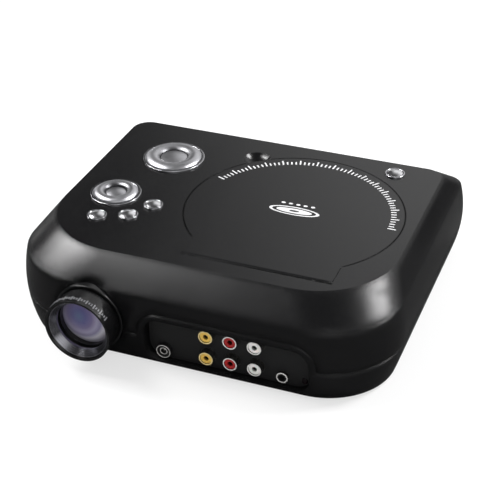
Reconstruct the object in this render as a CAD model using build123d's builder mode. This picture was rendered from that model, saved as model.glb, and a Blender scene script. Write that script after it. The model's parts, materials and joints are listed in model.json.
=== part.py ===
# Table-top projector with a disc player under a round flip-up lid.
# Millimetres. +X is right as seen from the lens side, +Y runs away from the lens, +Z is up.
# The origin is the centre of the overall footprint, on the surface that the feet stand on.
import os
from math import cos, pi, radians, sin, sqrt

from build123d import *

os.makedirs("parts", exist_ok=True)

# ---------------------------------------------------------------- case
body_height = 58.0          # shells alone, without feet
foot_height = 2.5
lens_reach = 16.0           # the lens ring stands this far in front of the belly
wall = 2.2
top_side_inset = 11.5       # flat top, in from the belly
top_end_inset = 20.0
top_front_corner = 48.0
top_back_corner = 11.0
shoulder_drop = 12.3        # crease between shoulder and wall, below the top
shoulder_side_inset = 2.4
shoulder_end_inset = 1.7
shoulder_front_corner = 44.0
shoulder_back_corner = 11.5
belly_drop = 32.0
belly_front_corner = 46.0
belly_back_corner = 13.0
base_side_inset = 4.8
base_end_inset = 5.0
base_front_corner = 40.0
base_back_corner = 12.0
seam_rise = 20.0            # joint between the shells, above the base
seam_gap = 0.3
lip_height = 3.0            # inner lip of the lower shell, behind the seam
lip_thick = 1.2
lip_clear = 0.2
slot_fit = 0.3              # clearance round pieces that pass through the shells

# ---------------------------------------------------------------- lid and disc well
disc_radius = 60.0
disc_clear = 2.0
lid_margin = 5.0            # lid edge beyond the disc
lid_side_gap = 6.9          # lid to the right edge of the flat top
lid_back_gap = 12.0         # lid to the back edge of the flat top
lid_front_gap = 11.0        # hinge edge to the front edge of the flat top
key_field = 70.1            # flat top left of the lid
lid_thick = 2.0
lid_gap = 0.35              # all round the lid
tab_half_width = 44.0       # hinge tab
tab_beyond = 1.0            # hinge edge in front of the lid circle
barrel_radius = 3.0         # rounded hinge edge, about the pin
pin_radius = 1.5
pin_running = 0.05
pin_length = 12.0
pin_in_lid = 8.0
lug_thick = 4.0
lug_clear = 0.35
scoop_angle = 129.3         # finger scoop, round the lid from +X
scoop_offset = 2.9          # its centre outside the lid circle
scoop_radius = 8.8
scoop_depth = 4.0
scoop_wall = 1.4
hook_width = 8.0
hook_thick = 1.5
hook_drop = 4.5
hook_inset = 3.0            # lid edge to the middle of the hook
hook_clear = 1.0
well_depth = 11.0           # top face to the floor of the well
well_skin = 1.8
flange_lap = 4.0
pickup_slot = 17.0
motor_window = 17.5

# ---------------------------------------------------------------- disc deck
disc_drop = 6.2             # top face to the underside of a disc
table_radius = 14.0
table_thick = 2.5
hub_radius = 7.4            # a disc has a 15 mm hole
hub_height = 3.2
hub_chamfer = 0.8
spindle_radius = 1.0
motor_radius = 11.0
motor_height = 9.0
motor_round = 1.0
chassis_drop = 22.5         # top face to the chassis plate
chassis_thick = 1.5
chassis_margin = 1.0        # beyond the dampers
chassis_front = 22.0        # from the spindle
chassis_back = 72.0
damper_radius = 4.0
damper_height = 3.0
damper_round = 0.6
damper_clear = 0.5          # dampers to the sled that passes between them
damper_front = 17.0
damper_back = 46.0
rod_radius = 1.5
rod_spacing = 26.0
rod_running = 0.05
rod_lift = 5.5              # rod axis above the chassis plate
rod_front = 9.0
lug_length = 3.5
sled_rest = 25.0            # spindle to lens, sled at its inner stop
sled_travel = 29.0
sled_width = 34.0
sled_length = 16.0
sled_height = 6.0
turret_radius = 6.5
objective_radius = 3.0
objective_height = 1.0
objective_round = 0.8
objective_drop = 1.6        # below the disc
screw_x = 22.0              # lead screw, beside the spindle
screw_radius = 1.5
screw_motor_radius = 3.9
screw_motor_length = 15.0
screw_motor_round = 0.5
nut_width = 7.0

# ---------------------------------------------------------------- keys
bezel_height = 1.0
bezel_wall = 0.9            # sleeve through the top
bezel_fit = 0.05
bezel_round = 0.4
key_gap = 0.3               # round every moving cap
key_travel = 0.8
key_catch = 0.7             # catch under the top, wider than the cap
catch_thick = 1.2
catch_clear = 0.1
ring_inset = 53.9           # large ring pad, from the left side
ring_from_lid = 35.9        # behind the lid centre
ring_bezel = 19.4
ring_core = 8.3
small_ring_inset = 38.9     # small ring pad, from the left side
small_from_lid = -16.8
small_ring_bezel = 15.4
small_ring_core = 6.0
ring_lip = 1.7              # bezel lip beyond the opening of a ring pad
ring_rise = 1.2
ring_crown = 1.8
core_rise = 0.9
core_crown = 1.2
key_arc = 27.7              # three keys on an arc round the small ring
key_angles = (-88.0, -49.4, -11.8)
key_bezel = 5.9
key_lip = 1.1
key_rise = 0.9
key_crown = 1.1
power_angle = 55.6          # power button, round the lid from +X
power_offset = 12.05        # its centre outside the lid circle
power_bezel_radius = 6.2
switch_size = 5.0
switch_height = 3.5
plunger_radius = 1.5
plunger_height = 0.8
press_gap = 0.1             # stem to plunger with the cap pressed down
stem_radius = 1.4
board_thick = 1.6
key_board_drop = 11.9       # top face to the upper face of the key board
key_board_inset = 7.0       # key board, from the left side
key_board_margin = 4.0      # beyond the keys, front and back
boss_radius = 3.0
power_board_size = 16.0
power_board_shift = 3.0     # board behind the button, clear of the disc well

# ---------------------------------------------------------------- lens and light path
lens_inset = 59.1           # lens axis, from the left side
lens_rise = 25.5            # lens axis above the base
bezel_outer = 20.8
bezel_proud = 1.5
bezel_deep = 6.0
bezel_edge = 0.5
ring_body = 18.7            # focus ring behind the rim
ring_clear = 0.4            # focus ring to lens bezel
rim_radius = 19.8
rim_length = 7.0
rim_mouth = 18.6
throat_radius = 15.2
hood_depth = 5.0
throat_web = 1.5
ring_length = 25.0
tube_outer = 17.2
tube_wall = 1.1
tube_length = 24.0
tube_running = 0.08
cell_running = 0.08
cell_wall = 1.0
focus_travel = 2.0          # of the lens barrel, each way
focus_clear = 0.5
cell_length = 28.0
glass_edge = 3.0
glass_crown = 3.2
glass_fit = 0.05
mount_flange = 3.0
flange_size = 42.0
box_width = 56.0            # light box
box_height = 37.0
box_length = 88.0
box_skin = 1.6
groove = 0.8
groove_clear = 0.1
panel_thick = 3.0
sheet_thick = 1.6
fresnel_places = (26.0, 44.0)   # from the front of the light box
lcd_place = 34.0
condenser_place = 66.0
condenser_crown = 6.0
lamp_gap = 3.0
lamp_size = 24.0
lamp_thick = 2.0
lamp_dome = 5.0
sink_base = 4.0
sink_depth = 26.0
sink_width = 50.0
sink_height = 36.0
fin_thick = 1.4
fin_count = 9

# ---------------------------------------------------------------- fan
fan_size = 40.0
fan_depth = 10.0
fan_bore = 19.0
fan_tip_clear = 0.8
fan_hub = 9.0
fan_blades = 7
blade_thick = 1.2
blade_pitch = 38.0
fan_back_gap = 6.5          # fan to the belly of the back wall
strut_width = 3.0
strut_count = 3
rotor_gap = 0.3             # rotor to the end of its shaft
vent_width = 36.0
vent_height = 2.4
vent_pitch = 4.8
vent_count = 7

# ---------------------------------------------------------------- jack bay
bay_inset = 37.1            # bay, from the right side
bay_width = 105.3
bay_top = 36.0              # above the base
bay_corner = 14.0
bay_rim = 4.0
panel_drop = 8.5            # jack plate behind the belly
plate_thick = 2.0
plate_margin = 1.0
rca_pitch_x = 14.35
rca_pitch_z = 14.5
rca_in_bay = 54.4           # middle column, from the left of the bay
rca_rise = 17.7             # between the rows, above the base
rca_radius = 4.15
rca_bore = 3.45
rca_reach = 4.5
rca_collar = 4.8
insert_fit = 0.05
insert_hole = 1.6
insert_set_back = 0.5
rca_block_depth = 12.0
rca_block_margin = 6.6
dc_in_bay = 13.3
dc_rise = 7.4
dc_outer = 4.4
dc_bore = 2.8
dc_depth = 10.5
dc_reach = 2.5
dc_pin_radius = 1.05
dc_round = 0.4
dc_block = 10.0
phone_in_bay = 84.0
phone_rise = 7.1
phone_nut = 3.4
phone_nose = 2.5
phone_bore = 1.8
phone_depth = 14.0
phone_reach = 2.0
phone_round = 0.25
phone_block = 9.4
window_in_bay = 96.7
window_radius = 1.8
window_reach = 0.45
window_round = 0.35
jack_fit = 0.1

# ---------------------------------------------------------------- boards and sundries
post_height = 5.0           # stand-offs on the floor of the lower shell
main_inset = 49.0           # main board, from the right side
main_width = 84.0
main_front_inset = 27.0
main_back_inset = 8.0
chips = (                   # x and y on the board, size, height
    (28.0, 82.0, 20.0, 1.6), (58.0, 92.0, 14.0, 1.2), (26.0, 42.0, 10.0, 2.0), (62.0, 38.0, 12.0, 4.0),
)
capacitors = ((48.0, 18.0), (60.0, 18.0), (72.0, 18.0), (8.0, 112.0), (8.0, 124.0))
capacitor_radius = 4.0
capacitor_height = 7.2
usb_on_board = 68.0         # from the left edge of the board
usb_width = 14.0
usb_height = 7.0
usb_depth = 15.0
usb_skin = 0.5
usb_tongue = 1.8
usb_tongue_rise = 0.45      # above the middle of the socket
card_on_board = 36.0
card_width = 28.0
card_height = 4.2
card_depth = 24.0
card_slot_width = 24.6
card_slot_height = 2.4
socket_set_back = 1.6       # socket mouths behind the belly of the back wall
speaker_inset = 27.0        # from the right side
speaker_front_inset = 71.0
speaker_radius = 14.0
speaker_height = 6.0
speaker_rim = 2.0
speaker_magnet = 7.0
speaker_round = 0.75
grille_hole = 1.2
grille_pitch = 2.4
grille_rows = 5
post_side_inset = 18.0
post_front_inset = 43.0
post_back_inset = 21.0
screw_shank = 1.5
screw_head = 3.0
screw_head_height = 2.2
drive_slot = 0.9
drive_length = 4.2
drive_depth = 1.1
screw_length = 26.0
screw_clear = 0.2
head_drop = 1.5             # screw heads above the base
boss_wall = 2.4
foot_radius = 7.0
foot_chamfer = 0.6
foot_side_inset = 31.0
foot_front_inset = 41.0
foot_back_inset = 27.0

# ---------------------------------------------------------------- levels worked out from these
lid_radius = disc_radius + lid_margin
tab_reach = lid_radius + tab_beyond
body_width = 2 * top_side_inset + key_field + 2 * lid_radius + lid_side_gap
body_depth = 2 * top_end_inset + lid_front_gap + tab_reach + lid_radius + lid_back_gap
body_y = lens_reach / 2
front_y = body_y - body_depth / 2
back_y = body_y + body_depth / 2
left_x = -body_width / 2
right_x = body_width / 2
lid_x = right_x - top_side_inset - lid_side_gap - lid_radius
lid_y = back_y - top_end_inset - lid_back_gap - lid_radius
lens_front = front_y - lens_reach
base_z = foot_height
floor_z = base_z + wall
top_z = base_z + body_height
roof_z = top_z - wall
shoulder_z = top_z - shoulder_drop
belly_z = top_z - belly_drop
seam_z = base_z + seam_rise
far = body_width            # longer than any cut needs
beyond = 20.0               # how far cutting shapes start outside the case
lens_x = left_x + lens_inset
lens_z = base_z + lens_rise


def facing(y):
    """Upright plane at y that looks at the lens side: local x is +X and local y is +Z."""
    return Plane(origin=(0, y, 0), x_dir=(1, 0, 0), z_dir=(0, -1, 0))


def finish(part, label):
    part.label = label
    export_step(part, f"parts/{label}.step")


def post(x, y, low, high, radius, bore=0.0):
    """Round post from low to high, hollow when it has a bore."""
    with BuildPart() as column:
        with BuildSketch(Plane.XY.offset(low)):
            with Locations((x, y)):
                Circle(radius)
                if bore:
                    Circle(bore, mode=Mode.SUBTRACT)
        extrude(amount=high - low)
    return column.part


def block(x_low, x_high, y_low, y_high, z_low, z_high):
    with BuildPart() as slab:
        with BuildSketch(Plane.XY.offset(z_low)):
            with Locations(((x_low + x_high) / 2, (y_low + y_high) / 2)):
                Rectangle(x_high - x_low, y_high - y_low)
        extrude(amount=z_high - z_low)
    return slab.part


def barrel(x, z, y_near, y_far, outer, inner=0.0):
    """Tube or rod along Y, from y_near back to y_far."""
    with BuildPart() as tube:
        with BuildSketch(facing(y_near)):
            with Locations((x, z)):
                Circle(outer)
                if inner:
                    Circle(inner, mode=Mode.SUBTRACT)
        extrude(amount=y_near - y_far)
    return tube.part


# ---------------------------------------------------------------- outer form of the case
def section(z, side_inset, end_inset, front_corner, back_corner, shrink):
    """One level of the case: wide round corners towards the lens, tight ones at the back."""
    with BuildSketch(Plane.XY.offset(z)) as outline:
        with Locations((0, body_y)):
            Rectangle(body_width - 2 * (side_inset + shrink), body_depth - 2 * (end_inset + shrink))
        fillet(outline.vertices().group_by(Axis.Y)[0], front_corner - shrink)
        fillet(outline.vertices().group_by(Axis.Y)[-1], back_corner - shrink)
    return outline.sketch


def case_form(shrink):
    base = section(
        base_z + shrink, base_side_inset, base_end_inset, base_front_corner, base_back_corner, shrink,
    )
    belly = section(belly_z, 0, 0, belly_front_corner, belly_back_corner, shrink)
    shoulder = section(
        shoulder_z - shrink / 2, shoulder_side_inset, shoulder_end_inset,
        shoulder_front_corner, shoulder_back_corner, shrink,
    )
    top = section(top_z - shrink, top_side_inset, top_end_inset, top_front_corner, top_back_corner, shrink)
    with BuildPart() as form:
        loft([base, belly, shoulder])
        loft([shoulder, top], ruled=True)
    return form.part


outer_form = case_form(0.0)
inner_form = case_form(wall)


def bay_outline(y, inset, low):
    """Arch of the jack bay, as a sketch that looks at the lens side."""
    left = bay_left + inset
    right = bay_right - inset
    high = base_z + bay_top - inset
    with BuildSketch(facing(y)) as arch:
        with Locations(((left + right) / 2, (low + high) / 2)):
            Rectangle(right - left, high - low)
        fillet(arch.vertices().group_by(Axis.Z)[-1], bay_corner - inset)
    return arch.sketch


bay_right = right_x - bay_inset
bay_left = bay_right - bay_width
panel_y = front_y + panel_drop
bay_depth = panel_drop + beyond
plate_back = panel_y + plate_thick

# Everything under the seam, with the arch that rises round the jack bay.
with BuildPart() as lower_zone:
    add(block(-far, far, -far, far, 0, seam_z))
    extrude(bay_outline(front_y - beyond, 0, 0), amount=-bay_depth)

with BuildPart() as seam_zone:
    add(block(-far, far, -far, far, 0, seam_z + seam_gap))
    extrude(bay_outline(front_y - beyond, -seam_gap, 0), amount=-(bay_depth + seam_gap))

# Solid surround of the jack bay, shaped by the wall of the case.
with BuildPart() as bay_block:
    extrude(bay_outline(front_y - beyond, 0, base_z), amount=-bay_depth)
    add(outer_form, mode=Mode.INTERSECT)

# Inner lip that the upper shell slips over, kept clear of the jack bay and the lens.
with BuildPart() as lip_root:
    add(inner_form)
    add(block(-far, far, -far, far, seam_z - lip_height, seam_z), mode=Mode.INTERSECT)

with BuildPart() as lip:
    add(case_form(wall + lip_clear))
    add(block(-far, far, -far, far, seam_z, seam_z + lip_height), mode=Mode.INTERSECT)
    add(lip_root.part)
    add(case_form(wall + lip_clear + lip_thick), mode=Mode.SUBTRACT)
    add(block(bay_left - bay_rim, bay_right + bay_rim, front_y, 0, 0, far), mode=Mode.SUBTRACT)
    add(barrel(lens_x, lens_z, front_y, 0, bezel_outer + bay_rim), mode=Mode.SUBTRACT)

# ---------------------------------------------------------------- lid outline and hinge line
pin_y = lid_y - tab_reach + barrel_radius
pin_z = top_z - barrel_radius
lug_near = tab_half_width + lug_clear
lug_far = lug_near + lug_thick
scoop_x = lid_x + (lid_radius + scoop_offset) * cos(radians(scoop_angle))
scoop_y = lid_y + (lid_radius + scoop_offset) * sin(radians(scoop_angle))
scoop_sphere = (scoop_radius**2 + scoop_depth**2) / (2 * scoop_depth)
hook_y = lid_y + lid_radius - hook_inset


def lid_outline(grow, tab_front):
    """Disc with a hinge tab that runs forward to tab_front."""
    with BuildSketch(Plane.XY.offset(top_z)) as outline:
        with Locations((lid_x, lid_y)):
            Circle(lid_radius + grow)
        with Locations((lid_x, (lid_y + tab_front) / 2)):
            Rectangle(2 * (tab_half_width + grow), lid_y - tab_front)
    return outline.sketch


def scoop_ball():
    with BuildPart() as ball:
        with Locations((scoop_x, scoop_y, top_z + scoop_sphere - scoop_depth)):
            Sphere(scoop_sphere)
    return ball.part


# ---------------------------------------------------------------- key layout
ring_x = left_x + ring_inset
ring_y = lid_y + ring_from_lid
small_ring_x = left_x + small_ring_inset
small_ring_y = lid_y + small_from_lid
power_x = lid_x + (lid_radius + power_offset) * cos(radians(power_angle))
power_y = lid_y + (lid_radius + power_offset) * sin(radians(power_angle))
ring_centre = (ring_x, ring_y)
small_centre = (small_ring_x, small_ring_y)
key_centres = [
    (small_ring_x + key_arc * cos(radians(angle)), small_ring_y + key_arc * sin(radians(angle)))
    for angle in key_angles
]
power_centre = (power_x, power_y)
# Opening inside each bezel, by cap.
ring_open = ring_bezel - ring_lip
small_open = small_ring_bezel - ring_lip
key_open = key_bezel - key_lip
power_open = power_bezel_radius - key_lip
cap_openings = [(ring_centre, ring_open), (small_centre, small_open), (power_centre, power_open)]
cap_openings += [(centre, key_open) for centre in key_centres]
board_z = top_z - key_board_drop
switch_z = board_z + switch_height
stem_z = switch_z + plunger_height + press_gap + key_travel
key_board_left = left_x + key_board_inset
key_board_right = ring_x + ring_open
key_board_front = small_ring_y - key_arc - key_board_margin
key_board_far = ring_y + ring_bezel + key_board_margin
key_board_bosses = [
    (x, y) for x in (key_board_left + boss_radius, key_board_right - boss_radius)
    for y in (key_board_front + boss_radius, key_board_far - boss_radius)
]
power_board_y = power_y + power_board_shift
power_boss_reach = power_board_size / 2 + boss_radius
power_board_bosses = [(power_x + side * power_boss_reach, power_board_y) for side in (-1, 1)]
case_posts = [
    (x, y) for x in (left_x + post_side_inset, right_x - post_side_inset)
    for y in (front_y + post_front_inset, back_y - post_back_inset)
]
screw_seat = base_z + head_drop + screw_head_height

# ---------------------------------------------------------------- vents and sockets in the back wall
fan_back = back_y - fan_back_gap
fan_front = fan_back - fan_depth
vent_levels = [lens_z + (step - (vent_count - 1) / 2) * vent_pitch for step in range(vent_count)]
socket_mouth = back_y - socket_set_back
main_right = right_x - main_inset
main_left = main_right - main_width
main_front = front_y + main_front_inset
main_back = back_y - main_back_inset
usb_x = main_left + usb_on_board
card_x = main_left + card_on_board
speaker_x = right_x - speaker_inset
speaker_y = front_y + speaker_front_inset
board_low = floor_z + post_height
board_top = board_low + board_thick


def back_cuts():
    """Fan louvres and the openings round the memory sockets, through the back wall."""
    with BuildPart() as cuts:
        for level in vent_levels:
            with BuildSketch(facing(back_y + wall)):
                with Locations((lens_x, level)):
                    SlotOverall(vent_width, vent_height)
            extrude(amount=2 * wall + fan_back_gap - slot_fit)
        with BuildSketch(facing(back_y + wall)):
            with Locations((usb_x, board_top + usb_height / 2)):
                Rectangle(usb_width + 2 * slot_fit, usb_height + 2 * slot_fit)
            with Locations((card_x, board_top + card_height / 2)):
                Rectangle(card_width + 2 * slot_fit, card_height + 2 * slot_fit)
        extrude(amount=2 * wall + fan_back_gap)
    return cuts.part


louvres = back_cuts()
lens_opening = barrel(lens_x, lens_z, lens_front, front_y + bezel_deep + wall, bezel_outer + slot_fit)

# ---------------------------------------------------------------- upper shell
with BuildPart() as top_case:
    add(outer_form)
    add(inner_form, mode=Mode.SUBTRACT)
    for x, y in case_posts:
        add(post(x, y, seam_z + seam_gap, top_z, screw_shank + boss_wall))
    for x, y in key_board_bosses + power_board_bosses:
        add(post(x, y, board_z, top_z, boss_radius))
    for side in (-1, 1):
        inner_x = lid_x + side * lug_near
        outer_x = lid_x + side * lug_far
        add(block(
            min(inner_x, outer_x), max(inner_x, outer_x), pin_y - barrel_radius, pin_y + barrel_radius,
            pin_z - barrel_radius, top_z,
        ))
    add(post(scoop_x, scoop_y, roof_z - scoop_depth, roof_z, scoop_radius + scoop_wall))
    add(outer_form, mode=Mode.INTERSECT)
    add(seam_zone.part, mode=Mode.SUBTRACT)
    extrude(lid_outline(lid_gap, pin_y - barrel_radius - lid_gap), amount=-wall, mode=Mode.SUBTRACT)
    add(
        post(lid_x, lid_y, roof_z - well_depth, roof_z, disc_radius + disc_clear + well_skin + slot_fit),
        mode=Mode.SUBTRACT,
    )
    add(scoop_ball(), mode=Mode.SUBTRACT)
    for (x, y), opening in cap_openings:
        add(post(x, y, roof_z - wall, top_z + wall, opening + bezel_wall + bezel_fit), mode=Mode.SUBTRACT)
    for x, y in case_posts:
        add(post(x, y, 0, screw_seat + screw_length, screw_shank), mode=Mode.SUBTRACT)
    add(lens_opening, mode=Mode.SUBTRACT)
    add(louvres, mode=Mode.SUBTRACT)
    for side in (-1, 1):
        with BuildSketch(Plane.YZ.offset(lid_x + side * (lug_near - pin_in_lid))):
            with Locations((pin_y, pin_z)):
                Circle(pin_radius)
        extrude(amount=side * pin_length, mode=Mode.SUBTRACT)
finish(top_case.part, "top_case")

# ---------------------------------------------------------------- lower shell
box_front = front_y + tube_length
box_low = lens_z - box_height / 2
fan_low = lens_z - fan_size / 2
sink_near = box_front + box_length + lamp_gap
sink_far = sink_near + sink_base + sink_depth
sink_low = lens_z - sink_height / 2
box_posts = [
    (lens_x + side * (box_width / 2 - boss_radius), y)
    for side in (-1, 1) for y in (box_front + 2 * boss_radius, box_front + box_length - 2 * boss_radius)
]
sink_posts = [(lens_x + side * (sink_width / 2 - boss_radius), sink_near + sink_base / 2) for side in (-1, 1)]
board_posts = [
    (x, y) for x in (main_left + boss_radius, main_right - boss_radius)
    for y in (main_front + boss_radius, main_back - 3 * boss_radius)
]

with BuildPart() as bottom_case:
    add(outer_form)
    add(inner_form, mode=Mode.SUBTRACT)
    add(lower_zone.part, mode=Mode.INTERSECT)
    add(bay_block.part)
    add(lip.part)
    for x, y in case_posts:
        add(post(x, y, base_z, seam_z, screw_shank + boss_wall))
    for x, y in box_posts:
        add(post(x, y, base_z, box_low, boss_radius))
    for x, y in sink_posts:
        add(post(x, y, base_z, sink_low, boss_radius))
    for x, y in board_posts:
        add(post(x, y, base_z, board_low, boss_radius))
    add(block(lens_x - fan_size / 2, lens_x + fan_size / 2, fan_front, fan_back, base_z, fan_low))
    extrude(bay_outline(front_y - beyond, bay_rim, floor_z), amount=-bay_depth, mode=Mode.SUBTRACT)
    for x, y in case_posts:
        add(post(x, y, 0, seam_z + lip_height, screw_shank + screw_clear), mode=Mode.SUBTRACT)
        add(post(x, y, 0, screw_seat, screw_head + screw_clear), mode=Mode.SUBTRACT)
    add(lens_opening, mode=Mode.SUBTRACT)
    add(louvres, mode=Mode.SUBTRACT)
    with BuildSketch(Plane.XY):
        with Locations((speaker_x, speaker_y)):
            with HexLocations(grille_pitch, grille_rows, grille_rows):
                Circle(grille_hole)
    extrude(amount=floor_z, mode=Mode.SUBTRACT)
finish(bottom_case.part, "bottom_case")

# ---------------------------------------------------------------- feet and screws
feet = [
    (x, y) for x in (left_x + foot_side_inset, right_x - foot_side_inset)
    for y in (front_y + foot_front_inset, back_y - foot_back_inset)
]
with BuildPart() as rubber_feet:
    with BuildSketch(Plane.XY):
        with Locations(*feet):
            Circle(foot_radius)
    extrude(amount=foot_height)
    chamfer(rubber_feet.edges().group_by(Axis.Z)[0], foot_chamfer)
finish(rubber_feet.part, "rubber_feet")

with BuildPart() as case_screws:
    for x, y in case_posts:
        add(post(x, y, screw_seat - screw_head_height, screw_seat, screw_head))
        add(post(x, y, screw_seat, screw_seat + screw_length, screw_shank))
        with BuildSketch(Plane.XY.offset(screw_seat - screw_head_height)):
            with Locations((x, y)):
                Rectangle(drive_length, drive_slot)
                Rectangle(drive_slot, drive_length)
        extrude(amount=drive_depth, mode=Mode.SUBTRACT)
finish(case_screws.part, "case_screws")

# ---------------------------------------------------------------- disc lid and its hinge
with BuildPart() as disc_lid:
    extrude(lid_outline(0, pin_y), amount=-lid_thick)
    add(block(lid_x - far, lid_x + far, -far, pin_y, 0, far), mode=Mode.SUBTRACT)
    with BuildSketch(Plane.YZ.offset(lid_x - tab_half_width)):
        with Locations((pin_y, pin_z)):
            Circle(barrel_radius)
    extrude(amount=2 * tab_half_width)
    for side in (-1, 1):
        with BuildSketch(Plane.YZ.offset(lid_x + side * tab_half_width)):
            with Locations((pin_y, pin_z)):
                Circle(pin_radius + pin_running)
        extrude(amount=-side * (pin_in_lid + lug_clear), mode=Mode.SUBTRACT)
    add(block(
        lid_x - hook_width / 2, lid_x + hook_width / 2, hook_y - hook_thick / 2, hook_y + hook_thick / 2,
        top_z - lid_thick - hook_drop, top_z - lid_thick / 2,
    ))
finish(disc_lid.part, "disc_lid")

with BuildPart() as hinge_pins:
    for side in (-1, 1):
        with BuildSketch(Plane.YZ.offset(lid_x + side * (lug_near - pin_in_lid))):
            with Locations((pin_y, pin_z)):
                Circle(pin_radius)
        extrude(amount=side * pin_length)
finish(hinge_pins.part, "hinge_pins")

# ---------------------------------------------------------------- disc well, hung under the top
well_floor = top_z - well_depth
well_radius = disc_radius + disc_clear
chassis_z = top_z - chassis_drop
damper_top = chassis_z + damper_height
damper_x = screw_x + nut_width / 2 + damper_clear + damper_radius
chassis_half_width = damper_x + damper_radius + chassis_margin
deck_posts = [(lid_x + side * damper_x, lid_y + y) for side in (-1, 1) for y in (-damper_front, damper_back)]

with BuildPart() as disc_well:
    extrude(lid_outline(lid_gap + flange_lap, pin_y), amount=-(wall + well_skin))
    add(post(lid_x, lid_y, well_floor - well_skin, roof_z, well_radius + well_skin))
    add(block(-far, far, -far, far, roof_z, far), mode=Mode.SUBTRACT)
    add(post(lid_x, lid_y, well_floor, top_z, well_radius), mode=Mode.SUBTRACT)
    for x, y in deck_posts:
        add(post(x, y, damper_top, well_floor, boss_radius))
    add(post(lid_x, lid_y, well_floor - well_skin, well_floor, motor_window), mode=Mode.SUBTRACT)
    slot_back = lid_y + sled_rest + sled_travel + turret_radius + slot_fit
    with BuildSketch(Plane.XY.offset(well_floor)):
        with Locations((lid_x, (lid_y + slot_back) / 2)):
            Rectangle(pickup_slot, slot_back - lid_y)
    extrude(amount=-well_skin, mode=Mode.SUBTRACT)
    lug_room = barrel_radius + lid_gap
    add(block(lid_x - far, lid_x + far, -far, pin_y + lug_room, 0, far), mode=Mode.SUBTRACT)
    add(post(
        scoop_x, scoop_y, roof_z - scoop_depth - slot_fit, top_z,
        scoop_radius + scoop_wall + slot_fit,
    ), mode=Mode.SUBTRACT)
    with BuildSketch(Plane.XY.offset(top_z)):
        with Locations((lid_x, hook_y)):
            Rectangle(hook_width + 2 * hook_clear, hook_thick + 2 * hook_clear)
    extrude(amount=-well_depth, mode=Mode.SUBTRACT)
finish(disc_well.part, "disc_well")

# ---------------------------------------------------------------- disc deck
table_z = top_z - disc_drop
rod_z = chassis_z + rod_lift
rod_near = lid_y + rod_front
rod_far = lid_y + chassis_back
rod_xs = [lid_x + side * rod_spacing / 2 for side in (-1, 1)]
screw_line = lid_x + screw_x
lug_half = 2 * rod_radius

with BuildPart() as deck_chassis:
    add(block(
        lid_x - chassis_half_width, lid_x + chassis_half_width, lid_y - chassis_front, lid_y + chassis_back,
        chassis_z - chassis_thick, chassis_z,
    ))
    for x in rod_xs + [screw_line]:
        add(block(x - lug_half, x + lug_half, rod_far - lug_length, rod_far, chassis_z, rod_z + lug_half))
    for x in rod_xs:
        add(block(x - lug_half, x + lug_half, rod_near, rod_near + lug_length, chassis_z, rod_z + lug_half))
    add(block(
        screw_line - screw_motor_radius, screw_line + screw_motor_radius, rod_near, rod_near + lug_length,
        chassis_z, rod_z + lug_half,
    ))
    for x in rod_xs:
        add(barrel(x, rod_z, rod_near - lug_length, rod_far + lug_length, rod_radius), mode=Mode.SUBTRACT)
    add(
        barrel(screw_line, rod_z, rod_near, rod_far + lug_length, screw_radius + rod_running),
        mode=Mode.SUBTRACT,
    )
    window_near = lid_y + sled_rest - sled_length
    window_far = rod_far - 3 * lug_length
    with BuildSketch(Plane.XY.offset(chassis_z)):
        with Locations((lid_x, (window_near + window_far) / 2)):
            Rectangle(rod_spacing / 2, window_far - window_near)
    extrude(amount=-chassis_thick, mode=Mode.SUBTRACT)
finish(deck_chassis.part, "deck_chassis")

with BuildPart() as deck_dampers:
    for x, y in deck_posts:
        add(post(x, y, chassis_z, damper_top, damper_radius))
    for ring_edges in (deck_dampers.edges().group_by(Axis.Z)[0], deck_dampers.edges().group_by(Axis.Z)[-1]):
        fillet(ring_edges, damper_round)
finish(deck_dampers.part, "deck_dampers")

with BuildPart() as spindle_motor:
    add(post(lid_x, lid_y, chassis_z, chassis_z + motor_height, motor_radius))
    fillet(spindle_motor.edges().group_by(Axis.Z)[-1], motor_round)
    add(post(lid_x, lid_y, chassis_z + motor_height, table_z - table_thick / 2, spindle_radius))
finish(spindle_motor.part, "spindle_motor")

with BuildPart() as turntable:
    add(post(lid_x, lid_y, table_z - table_thick, table_z, table_radius))
    add(post(lid_x, lid_y, table_z, table_z + hub_height, hub_radius))
    chamfer(turntable.edges().group_by(Axis.Z)[-1], hub_chamfer)
    add(post(lid_x, lid_y, 0, table_z - table_thick / 2, spindle_radius + pin_running), mode=Mode.SUBTRACT)
finish(turntable.part, "turntable")

sled_y = lid_y + sled_rest
sled_top = rod_z + sled_height / 2
turret_z = table_z - objective_drop - objective_height
nut_x = screw_line + nut_width / 2
with BuildPart() as pickup_sled:
    add(block(
        lid_x - sled_width / 2, nut_x, sled_y - sled_length / 2, sled_y + sled_length / 2,
        rod_z - sled_height / 2, sled_top,
    ))
    fillet(pickup_sled.edges().filter_by(Axis.Z), rod_radius)
    add(post(lid_x, sled_y, sled_top, turret_z, turret_radius))
    for x in rod_xs:
        add(barrel(x, rod_z, -far, far, rod_radius + rod_running), mode=Mode.SUBTRACT)
    add(barrel(screw_line, rod_z, -far, far, screw_radius + rod_running), mode=Mode.SUBTRACT)
finish(pickup_sled.part, "pickup_sled")

with BuildPart() as objective_lens:
    add(post(lid_x, sled_y, turret_z, turret_z + objective_height, objective_radius))
    fillet(objective_lens.edges().group_by(Axis.Z)[-1], objective_round)
finish(objective_lens.part, "objective_lens")

with BuildPart() as guide_rods:
    for x in rod_xs:
        add(barrel(x, rod_z, rod_near, rod_far, rod_radius))
finish(guide_rods.part, "guide_rods")

with BuildPart() as lead_screw:
    add(barrel(screw_line, rod_z, rod_near, rod_far, screw_radius))
finish(lead_screw.part, "lead_screw")

with BuildPart() as sled_motor:
    add(barrel(screw_line, rod_z, rod_near - screw_motor_length, rod_near, screw_motor_radius))
    fillet(sled_motor.edges(), screw_motor_round)
finish(sled_motor.part, "sled_motor")


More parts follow.
